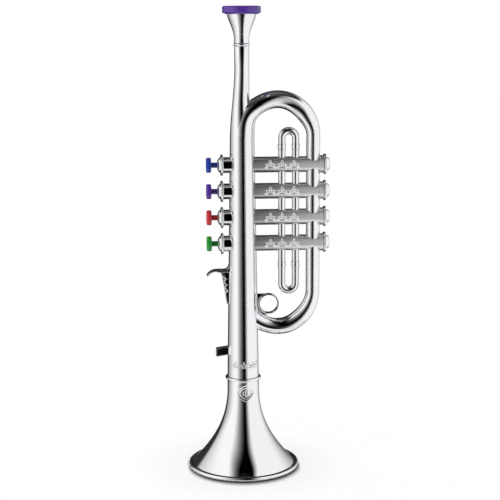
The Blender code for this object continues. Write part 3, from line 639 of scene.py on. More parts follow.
def leaf(centre, width, height, lean):
    """Points of a closed leaf round a centre, leaning by an angle in degrees."""
    points, lean = [], math.radians(lean)
    for index in range(13):
        angle = math.tau * index / 12
        along, up = width / 2 * math.sin(angle) * (1 - 0.35 * math.cos(angle)), height / 2 * math.cos(angle)
        points.append((centre[0] + along * math.cos(lean) + up * math.sin(lean),
                       centre[1] - along * math.sin(lean) + up * math.cos(lean)))
    return points


def leaf_scroll(length, height, peaks):
    """Lines of a plain leaf scroll, as (along, up) points round its middle."""
    step, unit = length / peaks, height / 6.6
    reach = length / 2
    lines = [[(-reach + length * index / 48,
               unit * (0.9 * math.cos(math.tau * (index / 48 - 0.5) * peaks) - 1.2)) for index in range(49)]]
    for index in range(peaks):
        middle = (index - (peaks - 1) / 2) * step
        for side in (-1, 1):
            start = 90 - 60 * side
            lines.append(curl((middle + side * 1.9 * unit, 0.4 * unit), 1.7 * unit, start, -1.2 * side))
            lines.append(leaf((middle + side * 0.36 * step, -2.0 * unit), 1.0 * unit, 2.3 * unit, 55 * side))
        lines.append(leaf((middle, 2.5 * unit), 1.5 * unit, 2.4 * unit, 0))
    return lines


def raised(name, lines, thickness, place_of):
    """Round raised lines on a surface, whose places come from (along, up) points."""
    pieces = []
    for line in lines:
        stations = [(place_of(along, up), thickness) for along, up in line]
        pieces.append(pipe(name, stations, 1, angle=60))
    return joined(name, pieces)


class TRUMPET_OT_bell(bpy.types.Operator):
    """Model the flared bell with its rolled rim and the bead round its top, with painted shade in the groove
    above the roll and under the roll.
    """

    bl_idname = "trumpet.bell"
    bl_label = "Bell"

    flare_height = 64.0 * MM
    flare_power = 2.2
    top_z = 75.4 * MM
    bead_radius = 1.1 * MM
    bead_standing = 1.7 * MM
    bell_wall = 1.4 * MM
    flat_width = 2.0 * MM
    medallion_x = 0.8 * MM
    medallion_z = 63.7 * MM
    medallion_reach = 6.7 * MM
    medallion_thickness = 0.5 * MM
    medallion_borders = ((1.0, 1.35), (0.70, 1.5))
    medallion_height_share = 0.95
    flute_pitch = 1.7 * MM
    fillet = 0.35 * MM
    groove_shade_reach = (-1.75 * MM, 1.55 * MM)
    groove_shade_height = (1.15 * MM, 2.3 * MM)
    underside_shade_top = 0.95 * MM

    def medallion(self):
        """A raised plate in the shape of a soft lozenge, with a double border round plain flutes."""
        lines = []
        for share, bend in self.medallion_borders:
            line = []
            for index in range(49):
                angle = math.tau * index / 48
                across, up = math.cos(angle), math.sin(angle)
                reach = share * self.medallion_reach / (abs(across) ** bend + abs(up) ** bend) ** (1 / bend)
                line.append((reach * across, reach * up * self.medallion_height_share))
            lines.append(line)
        for index in range(3):
            along = (index - 1) * self.flute_pitch
            half_length = self.medallion_reach * 0.48 - abs(along) * 0.8
            lines.append([(along, half_length * (step / 4 - 1)) for step in range(9)])

        def on_bell(along, up):
            height = self.medallion_z + up
            share = (height - sizes().roll_radius) / self.flare_height
            flare = sizes().bell_radius - sizes().roll_radius - sizes().throat_radius
            radius = sizes().throat_radius + flare * max(1 - share, 0) ** self.flare_power + 0.1 * MM
            turn = (self.medallion_x + along) / radius
            return (AXIS_X + radius * math.sin(turn), -radius * math.cos(turn), height)

        return raised("medallion", lines, self.medallion_thickness, on_bell)

    def execute(self, context):
        rim, throat, roll = sizes().bell_radius, sizes().throat_radius, sizes().roll_radius
        flare = []
        for index in range(49):
            share = (index / 48) ** 1.5
            radius = throat + (rim - roll - throat) * (1 - share) ** self.flare_power
            flare.append((radius, roll + self.flare_height * share))
        roll_centre = (rim - roll, roll)
        foot = rim - roll - self.flat_width / 2
        outline = [(foot, 0), (foot + self.flat_width, 0)]
        outline += arc(roll_centre, roll, -55, 78, 16) + flare[2:]
        bead = (throat + self.bead_standing - self.bead_radius, self.top_z - self.bead_radius)
        under_bead = (throat + self.fillet, bead[1] - self.bead_radius - self.fillet)
        outline += arc(under_bead, self.fillet, 180, 90, 3)
        outline += arc(bead, self.bead_radius, -80, 90, 10)
        outline += [(throat - self.bell_wall, self.top_z)]
        inner = []
        for before, place, after in zip(flare, flare[1:], flare[2:]):
            run = Vector((after[0] - before[0], after[1] - before[1])).normalized()
            inner.append((place[0] - run.y * self.bell_wall, place[1] + run.x * self.bell_wall))
        outline += [(throat - self.bell_wall, flare[-1][1])] + inner[:0:-1]
        outline += [(foot - roll / 2, roll)]
        piece = joined("bell_flare", [lathe("bell_flare", outline, sides=144), self.medallion()])
        settle(piece, "bell")
        # Near-black finish on the groove between the flare and the rim roll and on the roll's underside:
        # painted shade in the groove and a painted dark line of contact shade under the roll.
        piece.data.materials.append(finish("groove_shadow"))
        for face in piece.data.polygons:
            reach = math.hypot(face.center.x - AXIS_X, face.center.y) - rim + roll
            height = face.center.z
            groove = self.groove_shade_reach[0] < reach < self.groove_shade_reach[1]
            groove = groove and self.groove_shade_height[0] < height - roll < self.groove_shade_height[1]
            underside = reach > self.flat_width / 2 and height < self.underside_shade_top
            face.material_index = int(groove or underside)
        return {"FINISHED"}


def tube_section(height):
    """(radius, shift) of the body at a height, from its left and right outlines."""
    mouth = sizes().mouth_radius
    swell = taper_radius(min(height, TUBE_FLARE_Z)) - mouth
    left = mouth + swell * ease((SWELL_LEFT_TOP_Z - height) / (SWELL_LEFT_TOP_Z - TUBE_FLARE_Z))
    right = mouth + swell * ease((SWELL_RIGHT_TOP_Z - height) / (SWELL_RIGHT_TOP_Z - TUBE_FLARE_Z))
    return (right + left) / 2, (right - left) / 2


def arch_section(angle):
    """(radius, distance from the arch's centre) of the loop's tube, at degrees from its root.

    Each change of its inner or outer edge eases in from one angle to another.
    """
    inside, inner_dip, inner_rise = 21.25 * MM, 0.95 * MM, 2.45 * MM
    outside, outer_swell, outer_dip, root_pull = 35.15 * MM, 5.3 * MM, 1.5 * MM, 2.85 * MM
    root = root_pull * ease(1 - angle / 42)
    inner = inside - root - inner_dip * ease((angle - 85) / 45) + inner_rise * ease((angle - 140) / 40)
    outer = outside - root + outer_swell * ease(1 - angle / 60) - outer_dip * ease((angle - 85) / 95)
    return (outer - inner) / 2, (outer + inner) / 2


def loop_path():
    """(place, radius) stations of the loop, from its root in the body to its end in the body."""
    turn, leg, swelled, end, slip = LOOP_X, sizes().loop_radius, 6.7 * MM, 6.35 * MM, 0.65 * MM
    root_depth, root_step, root_inset, root_gain = 15.4 * MM, 2.2 * MM, 0.45 * MM, 0.5 * MM
    stations = []
    for index in range(7):
        height = LOOP_TOP_Z - root_depth + root_step * index
        stations.append(((AXIS_X, 0, height), taper_radius(height) - root_inset + root_gain * index / 7))
    for index in range(73):
        angle = math.pi * index / 72
        radius, distance = arch_section(math.degrees(angle))
        depth = -ARCH_TWIST * math.sin(2 * angle) * math.sin(angle) ** 2
        place = (AXIS_X + turn - distance * math.cos(angle), depth, LOOP_TOP_Z + distance * math.sin(angle))
        stations.append((place, radius))
    for index in range(61):
        angle = 150 * index / 60
        radius = leg + (swelled - leg) * ease(angle / 50) - (swelled - end) * ease((angle - 55) / 60)
        distance = turn - slip * ease((angle + 12) / 45) * ease((80 - angle) / 30)
        along, down = distance * math.cos(math.radians(angle)), distance * math.sin(math.radians(angle))
        stations.append(((AXIS_X + turn + along, 0, LOOP_FOOT_Z - down), radius))
    return stations


def slide_path():
    """(place, radius) stations of the inner slide, two legs joined by two half turns."""
    stations = []
    for foot, start in ((SLIDE_TOP_Z, 180), (SLIDE_FOOT_Z, 0)):
        for along, up in arc((SLIDE_X, foot), SLIDE_TURN, start, start - 180, 24):
            stations.append(((AXIS_X + along, 0, up), sizes().slide_radius))
    return stations


class TRUMPET_OT_shells(bpy.types.Operator):
    """Model the tapered tube, the loop, the inner slide and the valve casings in two half shells."""

    bl_idname = "trumpet.shells"
    bl_label = "Body shells"

    halves = ((-1, "shell_front", "body_front_shell"), (1, "shell_back", "body_back_shell"))
    spigot_radius = 11.05 * MM
    spigot_foot_z = 64.7 * MM
    spigot_step = 3 * MM
    swell_length = 59.0 * MM
    wall_start = 6 * MM
    mouth_edge = 0.3 * MM
    collar_radius = 6.9 * MM
    collar_length = 3.0 * MM
    casing_edge = 0.2 * MM
    seat_hole = 3.4 * MM
    bore_cut_radius = 5.2 * MM
    bore_cut_inset = 1 * MM
    plated_end_x = -9 * MM
    sleeve_heights = (260.7 * MM, 166.4 * MM)
    sleeve_reach = 2.4 * MM
    sleeve_edge = 0.3 * MM
    scroll_x = 31.2 * MM
    scroll_size = (28.0 * MM, 6.6 * MM)
    scroll_thickness = 0.36 * MM
    band_z = 86.4 * MM
    band_parts = ((-7.4 * MM, 3.8 * MM, 1), (5.6 * MM, 16.0 * MM, 4))
    band_height = 5.2 * MM
    band_thickness = 0.22 * MM

    def tube(self):
        """The tapered tube with its swell, its mouth and its spigot in the bell."""
        wall = sizes().wall
        heights = [TUBE_FOOT_Z + (TUBE_FLARE_Z - TUBE_FOOT_Z) * index / 40 for index in range(40)]
        heights += [TUBE_FLARE_Z + self.swell_length * index / 48 for index in range(49)]
        heights += [TUBE_MOUTH_Z - 0.5 * MM]
        outline = [(self.spigot_radius, self.spigot_foot_z), (self.spigot_radius, TUBE_FOOT_Z)]
        for height in heights:
            radius, shift = tube_section(height)
            outline.append((radius, height, shift))
        mouth, spigot_bore = sizes().mouth_radius, self.spigot_radius - wall
        outline += [(mouth - self.mouth_edge, TUBE_MOUTH_Z), (mouth - wall, TUBE_MOUTH_Z)]
        for height in heights[::-3]:
            radius, shift = tube_section(height)
            if height > TUBE_FOOT_Z + self.wall_start:
                outline.append((radius - wall, height, shift))
        outline += [(spigot_bore, TUBE_FOOT_Z + self.spigot_step), (spigot_bore, self.spigot_foot_z)]
        return lathe("tube", outline)

    def casing(self, height):
        """One valve casing with the collar at its far end and the seat inside."""
        outer, bore, edge = sizes().casing_radius, sizes().bore_radius, self.casing_edge
        collar = CASING_RIGHT - self.collar_length
        outline = [(outer, CASING_LEFT + edge)]
        outline += [(outer, CASING_LEFT + (collar - CASING_LEFT) * index / 24) for index in range(1, 24)]
        outline += [(outer, collar), (self.collar_radius - edge, collar)]
        outline += [(self.collar_radius, collar + edge), (self.collar_radius, CASING_RIGHT)]
        outline += [(bore, CASING_RIGHT), (bore, SEAT_X), (self.seat_hole, SEAT_X), (self.seat_hole, 0)]
        outline += [(bore, 0), (bore, CASING_LEFT), (outer - edge, CASING_LEFT)]
        return lathe("casing", outline, axis="X", middle=(AXIS_X, 0, height), sides=64)

    def sleeve(self, along, height):
        """A short thicker sleeve on one leg of the inner slide."""
        radius, reach, edge = sizes().slide_radius, self.sleeve_reach, self.sleeve_edge
        outline = [(radius * 0.9, -reach), (radius, -reach), (radius + edge, -reach + edge)]
        outline += [(radius + edge, reach - edge), (radius, reach), (radius * 0.9, reach)]
        return lathe("sleeve", outline, middle=(AXIS_X + along, 0, height), sides=40)

    def casing_scroll(self, height, side):
        """The leaf scroll on one face of a casing."""
        radius = sizes().casing_radius + 0.05 * MM

        def on_casing(along, up):
            return (AXIS_X + self.scroll_x + along, side * math.sqrt(radius ** 2 - up ** 2), height + up)

        return raised("casing_scroll", leaf_scroll(*self.scroll_size, 3), self.scroll_thickness, on_casing)

    def tube_scroll(self, side):
        """A short and a long leaf scroll round one face of the tube, above the bell."""
        pieces = []
        for middle, length, peaks in self.band_parts:

            def on_tube(along, up):
                radius = taper_radius(self.band_z) + 0.02 * MM
                turn = (middle + along) / radius
                return (AXIS_X + radius * math.sin(turn), side * radius * math.cos(turn), self.band_z + up)

            lines = leaf_scroll(length, self.band_height, peaks)
            pieces.append(raised("tube_scroll", lines, self.band_thickness, on_tube))
        return pieces

    def execute(self, context):
        bores, radius, inset = [], self.bore_cut_radius, self.bore_cut_inset
        for colour in VALVES:
            outline = [(radius, CASING_LEFT + inset), (radius, CASING_RIGHT - inset)]
            middle = (AXIS_X, 0, valve_height(colour))
            bores.append(lathe("bore", outline, axis="X", middle=middle, sides=32, ends="FLAT"))
        bores = joined("bores", bores)
        forms = [self.tube(), pipe("loop", loop_path(), 22), pipe("slide", slide_path(), 12, cyclic=True)]
        for form in forms:
            cut_away(form, bores)
        for side in (-1, 1):
            for height in self.sleeve_heights:
                forms.append(self.sleeve(SLIDE_X + side * SLIDE_TURN, height))
        casings = [self.casing(valve_height(colour)) for colour in VALVES]
        for side, name, node in self.halves:
            barrels = [half(form, side) for form in casings]
            shell = joined(name, [half(form, side) for form in forms])
            settle(shell, node)
            for piece in barrels:
                wear(piece, "satin_chrome", "chrome_plastic")
                for face in piece.data.polygons:
                    face.material_index = int(face.center.x < AXIS_X + self.plated_end_x)
            scrolls = [self.casing_scroll(valve_height(colour), side) for colour in VALVES]
            for piece in scrolls:
                wear(piece, "raised_plating")
            bands = self.tube_scroll(side)
            for piece in bands:
                wear(piece, "chrome_plastic")
            joined(name, [shell] + barrels + scrolls + bands)
        pick(bores, *forms, *casings)
        bpy.ops.object.delete()
        return {"FINISHED"}


class TRUMPET_OT_mouthpiece(bpy.types.Operator):
    """Model the cup, the bead and the shank of the mouthpiece, and its coloured rim."""

    bl_idname = "trumpet.mouthpiece"
    bl_label = "Mouthpiece and rim"

    brim_radius = 11.35 * MM
    waist_radius = 5.85 * MM
    cup_depth = 19.5 * MM
    bead_radius = 1.05 * MM
    bead_middle = 5.425 * MM
    bead_height = 1.15 * MM
    shank_radius = 4.0 * MM
    shank_length = 20 * MM
    throat_radius = 2.2 * MM
    throat_depth = 12.5 * MM
    throat_edge = (0.4 * MM, 0.3 * MM)
    bowl_radius = 8.3 * MM
    spigot_radius = 9.8 * MM
    spigot_height = 3.2 * MM
    socket_radius = 10.1 * MM
    socket_height = 3.5 * MM
    rim_radius = 15.0 * MM
    rim_edge = 1.2 * MM
    rim_skirt = (2.8 * MM, 1.2 * MM)
    rim_chamfer = (0.25 * MM, 0.1 * MM, 0.15 * MM)

    def cup(self):
        """The plated cup."""
        outline = []
        for index in range(33):
            share = index / 32
            slope = math.sin(share * math.pi / 2) ** 1.3
            radius = self.brim_radius + (self.waist_radius - self.brim_radius) * slope
            outline.append((radius, CUP_TOP_Z - self.cup_depth * share))
        bead = (self.bead_middle, CUP_SEAT_Z + self.bead_radius)
        outline.append((self.waist_radius, bead[1] + self.bead_height))
        outline += arc(bead, self.bead_radius, 66, -66, 10)
        shank, throat = self.shank_radius, self.throat_radius
        shank_foot, throat_top = CUP_SEAT_Z - self.shank_length, RIM_TOP_Z - self.throat_depth
        outline += [(sizes().mouth_radius, CUP_SEAT_Z), (shank, CUP_SEAT_Z), (shank, shank_foot)]
        outline += [(throat, shank_foot), (throat, throat_top)]
        outline += [(throat + self.throat_edge[0], throat_top + self.throat_edge[1])]
        spigot_top = RIM_FOOT_Z + self.spigot_height
        outline += arc((0, spigot_top), self.bowl_radius, -64, 0, 14)
        outline += [(self.spigot_radius, spigot_top), (self.spigot_radius, CUP_TOP_Z)]
        settle(lathe("mouthpiece_cup", outline), "mouthpiece")

    def rim(self):
        """The coloured rim over the top of the cup."""
        socket, bore, outer, edge = self.socket_radius, self.bowl_radius, self.rim_radius, self.rim_edge
        inset, drop = self.rim_skirt
        side, below, above = self.rim_chamfer
        outline = [(socket, RIM_FOOT_Z - drop), (outer - inset, RIM_FOOT_Z - drop)]
        outline += [(outer - side, RIM_FOOT_Z - below), (outer, RIM_FOOT_Z + above)]
        outline += arc((outer - edge, RIM_TOP_Z - edge), edge, 0, 90, 8)
        outline += arc((bore + edge, RIM_TOP_Z - edge), edge, 90, 180, 8)
        ledge = RIM_FOOT_Z + self.socket_height
        outline += [(bore, ledge), (socket, ledge)]
        settle(lathe("mouthpiece_ring", outline), "mouthpiece_rim", "purple_plastic")

    def execute(self, context):
        self.cup()
        self.rim()
        return {"FINISHED"}


class TRUMPET_OT_buttons(bpy.types.Operator):
    """Model the four coloured buttons with their stems."""

    bl_idname = "trumpet.buttons"
    bl_label = "Buttons"

    face_x = BUTTON_FACE_X
    thickness = 3.8 * MM
    edge = 0.9 * MM
    hollow = ((0.6 * MM, 0.14 * MM), (3.2 * MM, 0.08 * MM))
    stem_fillet = 0.4 * MM
    peg_radius = 1.6 * MM
    peg_length = 2.9 * MM
    peg_middle = 0.4 * MM

    def execute(self, context):
        head, stem = sizes().button_radius - self.edge, sizes().stem_radius
        face, back, peg = self.face_x, self.face_x + self.thickness, SEAT_X + self.peg_length
        outline = [(radius, face + depth) for radius, depth in self.hollow]
        outline += swapped(arc((face + self.edge, head), self.edge, 180, 90, 7))
        outline += swapped(arc((back - self.edge, head), self.edge, 90, 0, 7))
        outline += [(stem + self.stem_fillet, back), (stem, back + self.stem_fillet), (stem, SEAT_X)]
        outline += [(self.peg_radius, SEAT_X), (self.peg_radius, peg), (self.peg_middle, peg)]
        for colour in VALVES:
            middle = (AXIS_X, 0, valve_height(colour))
            piece = lathe("button_piece_" + colour, outline, axis="X", middle=middle, sides=64, ends="FLAT")
            slot = {"purple": "violet_plastic"}.get(colour, colour + "_plastic")
            settle(piece, "button_" + colour, slot, colour + "_valve")
        return {"FINISHED"}


class TRUMPET_OT_caps(bpy.types.Operator):
    """Model the caps at the two ends of each casing."""

    bl_idname = "trumpet.caps"
    bl_label = "Casing caps"

    gap = 0.3 * MM
    flange_thickness = 2.0 * MM
    bead_radius = 1.0 * MM
    spigot_radius = 4.6 * MM
    stem_hole = 2.4 * MM
    dome_height = 4.4 * MM
    dome_radius = 3.5 * MM
    dome_edge = 0.3 * MM
    dome_side = ((4.6 * MM, 0.55 * MM), (5.4 * MM, 1.1 * MM), (5.9 * MM, 1.8 * MM))
    dome_foot = ((6.1 * MM, 0.1 * MM), (6.9 * MM, 0.02 * MM))
    top_bead_middle = 7.45 * MM
    top_face_radius = 6.9 * MM
    top_spigot_length = 1.6 * MM
    end_bead_middle = 7.2 * MM
    end_face_radius = 6.8 * MM
    end_spigot_length = 3.5 * MM
    crown = ((6.6 * MM, 0), (5.6 * MM, 0), (5.4 * MM, 0.2 * MM), (5.1 * MM, 1.5 * MM),
             (4.8 * MM, 2.2 * MM), (4.3 * MM, 2.5 * MM), (0.5 * MM, 2.5 * MM))

    def top_cap(self, colour, middle):
        """The cap on the button side, with a bead for a flange and a low dome."""
        hole, spigot, face = self.stem_hole, self.spigot_radius, CASING_LEFT - self.gap
        flange, dome = face - self.flange_thickness, face - self.dome_height
        inside = face + self.top_spigot_length
        outline = [(hole, dome), (self.dome_radius, dome)]
        outline += swapped(arc((dome + self.dome_edge, self.dome_radius), self.dome_edge, 180, 100, 4))
        outline += [(radius, dome + depth) for radius, depth in self.dome_side]
        outline += [(radius, flange - depth) for radius, depth in self.dome_foot]
        bead = (flange + self.bead_radius, self.top_bead_middle)
        outline += swapped(arc(bead, self.bead_radius, 165, 15, 12))
        outline += [(self.top_face_radius, face), (spigot, face), (spigot, inside), (hole, inside)]
        piece = lathe("top_cap_" + colour, outline, axis="X", middle=middle, sides=72)
        settle(piece, "valve_top_cap_" + colour)

    def end_cap(self, colour, middle):
        """The cap on the far end, with a bead for a flange and a low crown."""
        spigot, face = self.spigot_radius, CASING_RIGHT + self.gap
        outline = [(spigot, CASING_RIGHT - self.end_spigot_length), (spigot, face)]
        bead = (face + self.bead_radius, self.end_bead_middle)
        outline += [(self.end_face_radius, face)] + swapped(arc(bead, self.bead_radius, 165, 15, 12))
        outline += [(radius, face + self.flange_thickness + depth) for radius, depth in self.crown]
        piece = lathe("end_cap_" + colour, outline, axis="X", middle=middle, sides=72, ends="FLAT")
        settle(piece, "valve_end_cap_" + colour)

    def execute(self, context):
        for colour in VALVES:
            middle = (AXIS_X, 0, valve_height(colour))
            self.top_cap(colour, middle)
            self.end_cap(colour, middle)
        return {"FINISHED"}


class TRUMPET_OT_hook(bpy.types.Operator):
    """Model the finger hook with its curled tip and its rib along the body."""

    bl_idname = "trumpet.hook"
    bl_label = "Finger hook"

    arm_z = 163.1 * MM
    arm_reach = 20.8 * MM
    arm_thickness = 1.6 * MM
    arm_width = 9.0 * MM
    root_depth = 1.2 * MM
    root_fillet = 3.6 * MM
    curl_radius = 9.5 * MM
    curl_thickness = 1.0 * MM
    curl_end = 148
    edge = 0.4 * MM
    rib_width = 5.2 * MM
    rib_top_inset = 0.8 * MM
    shoulder = 4.2 * MM
    rib_bend = (-14.8 * MM, 147.0 * MM)
    rib_foot_z = 135.2 * MM
    scroll_place = (-13.7 * MM, 151.0 * MM)
    scroll_lean = 0.13
    scroll_size = (14.0 * MM, 2.6 * MM)
    scroll_thickness = 0.2 * MM

    def arm(self):
        """The arm with its fillet at the body and its curled tip."""
        side = AXIS_X - taper_radius(self.arm_z)
        root, under = side + self.root_depth, self.arm_z - self.arm_thickness
        fillet = (side - self.root_fillet, self.arm_z + self.root_fillet)
        tip = (AXIS_X - self.arm_reach, self.arm_z - self.curl_radius)
        outline = [(root, self.arm_z + self.root_fillet)] + arc(fillet, self.root_fillet, 0, -90, 12)
        outline += arc(tip, self.curl_radius, 90, self.curl_end, 16)
        outline += arc(tip, self.curl_radius - self.curl_thickness, self.curl_end, 90, 16)[:-1]
        outline += [(tip[0], under), (root, under)]
        return plate("arm", outline, self.arm_width, self.edge)

    def rib(self):
        """The rib that runs down the body from the arm."""
        root = AXIS_X - taper_radius(self.arm_z) + self.root_depth
        top, end = self.arm_z - self.rib_top_inset, AXIS_X - self.arm_reach
        shoulder = (end, self.arm_z - self.arm_thickness - self.shoulder)
        foot = AXIS_X - taper_radius(self.rib_foot_z)
        outline = [(root, top), (end, top)] + arc(shoulder, self.shoulder, 90, 0, 10)
        outline += [(AXIS_X + self.rib_bend[0], self.rib_bend[1])]
        outline += [(foot - self.root_depth, self.rib_foot_z), (foot + self.root_depth, self.rib_foot_z)]
        return plate("rib", outline, self.rib_width, self.edge)

    def rib_scroll(self, side):
        """The leaf scroll on one face of the rib."""
        middle, top = self.scroll_place

        def on_rib(along, up):
            return (AXIS_X + middle + up + along * self.scroll_lean, side * self.rib_width / 2, top - along)

        return raised("rib_scroll", leaf_scroll(*self.scroll_size, 3), self.scroll_thickness, on_rib)

    def execute(self, context):
        pieces = [self.arm(), self.rib(), self.rib_scroll(-1), self.rib_scroll(1)]
        settle(joined("hook_piece", pieces), "finger_hook")
        return {"FINISHED"}


class TRUMPET_OT_ring(bpy.types.Operator):
    """Model the finger ring and its web between the body and the lower bend."""

    bl_idname = "trumpet.ring"
    bl_label = "Finger ring"

    centre = (AXIS_X + 20.7 * MM, 134.6 * MM)
    outer_radius = 8.2 * MM
    bore_radius = 7.2 * MM
    depth = 4.6 * MM
    edge = 0.3 * MM
    web_thickness = 3.0 * MM
    web_edge = 0.2 * MM
    web_x = AXIS_X + 19.4 * MM
    web_top_z = 142.6 * MM
    web_bend_z = 117.2 * MM
    web_foot_z = 124.0 * MM
    web_root = 1.0 * MM
    web_arc = (7.7 * MM, 99.7, 260.3)

    def hoop(self):
        """The round of the ring."""
        outline = band(self.bore_radius, self.outer_radius, self.depth / 2, self.edge)
        return lathe("hoop", outline, axis="Y", middle=(self.centre[0], 0, self.centre[1]), sides=72)

    def web(self):
        """The plate between the body, the ring and the lower bend."""
        top, foot = self.web_top_z, self.web_foot_z
        outline = [(AXIS_X + taper_radius(top) - self.web_root, top), (self.web_x, top)]
        outline += arc(self.centre, *self.web_arc, 24) + [(self.web_x, self.web_bend_z)]
        outline += arc((AXIS_X + LOOP_X, LOOP_FOOT_Z), LOOP_X, 250, 220, 8)
        outline += [(AXIS_X + taper_radius(foot) - self.web_root, foot)]
        return plate("web", outline, self.web_thickness, self.web_edge)

    def execute(self, context):
        settle(joined("ring_piece", [self.hoop(), self.web()]), "finger_ring")
        return {"FINISHED"}


class TRUMPET_OT_lug(bpy.types.Operator):
    """Model the sloping lug for a music clip, with its recessed panels."""

    bl_idname = "trumpet.lug"
    bl_label = "Clip lug"

    slope = math.tan(math.radians(8.5))
    half_height = 3.2 * MM
    root_z = 96.7 * MM
    root_depth = 1.4 * MM
    end_x = 21.8 * MM
    width = 6.4 * MM
    edge = 0.25 * MM
    panel_border = 0.65 * MM
    panel_slope = 0.12 * MM
    panel_depth = 0.8 * MM

    def execute(self, context):
        foot, up = sizes().tube_foot_radius, self.half_height
        root, outline = foot - self.root_depth, []
        for x, z in ((root, up), (self.end_x, up), (self.end_x, -up), (root, -up)):
            outline.append((AXIS_X - x, self.root_z - (x - foot) * self.slope + z))
        piece = plate("lug_piece", outline, self.width, self.edge)
        edit(piece)
        bpy.ops.mesh.select_mode(type="FACE")
        bpy.ops.mesh.select_all(action="DESELECT")
        close()
        for face in piece.data.polygons:
            face.select = abs(face.normal.y) > 0.99
        bpy.ops.object.mode_set(mode="EDIT")
        bpy.ops.mesh.dissolve_limited(angle_limit=0.01)
        bpy.ops.mesh.inset(thickness=self.panel_border, depth=0)
        bpy.ops.mesh.inset(thickness=self.panel_slope, depth=-self.panel_depth)
        close()
        tidy(piece)
        settle(piece, "clip_lug")
        return {"FINISHED"}


class TRUMPET_OT_inner_finish(bpy.types.Operator):
    """Give the inner pieces their finishes and give each spring a mesh of its own."""

    bl_idname = "trumpet.inner_finish"
    bl_label = "Inner pieces"

    def execute(self, context):
        slots = {"button_spring": "spring_steel", "stem_washer": "spring_steel", "valve_pad": "black_rubber",
                 "reed_holder": "grey_plastic", "reed": "brass", "chamber_plug": "black_rubber"}
        for name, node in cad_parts.items():
            if node.hide_render:
                continue
            found = [key for key in slots if name.startswith(key)]
            key = max(found, key=len)
            for index in range(len(node.data.materials)):
                node.data.materials[index] = finish(slots[key])
        for colour in VALVES:
            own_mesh(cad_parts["button_spring_" + colour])
        return {"FINISHED"}


# Stage


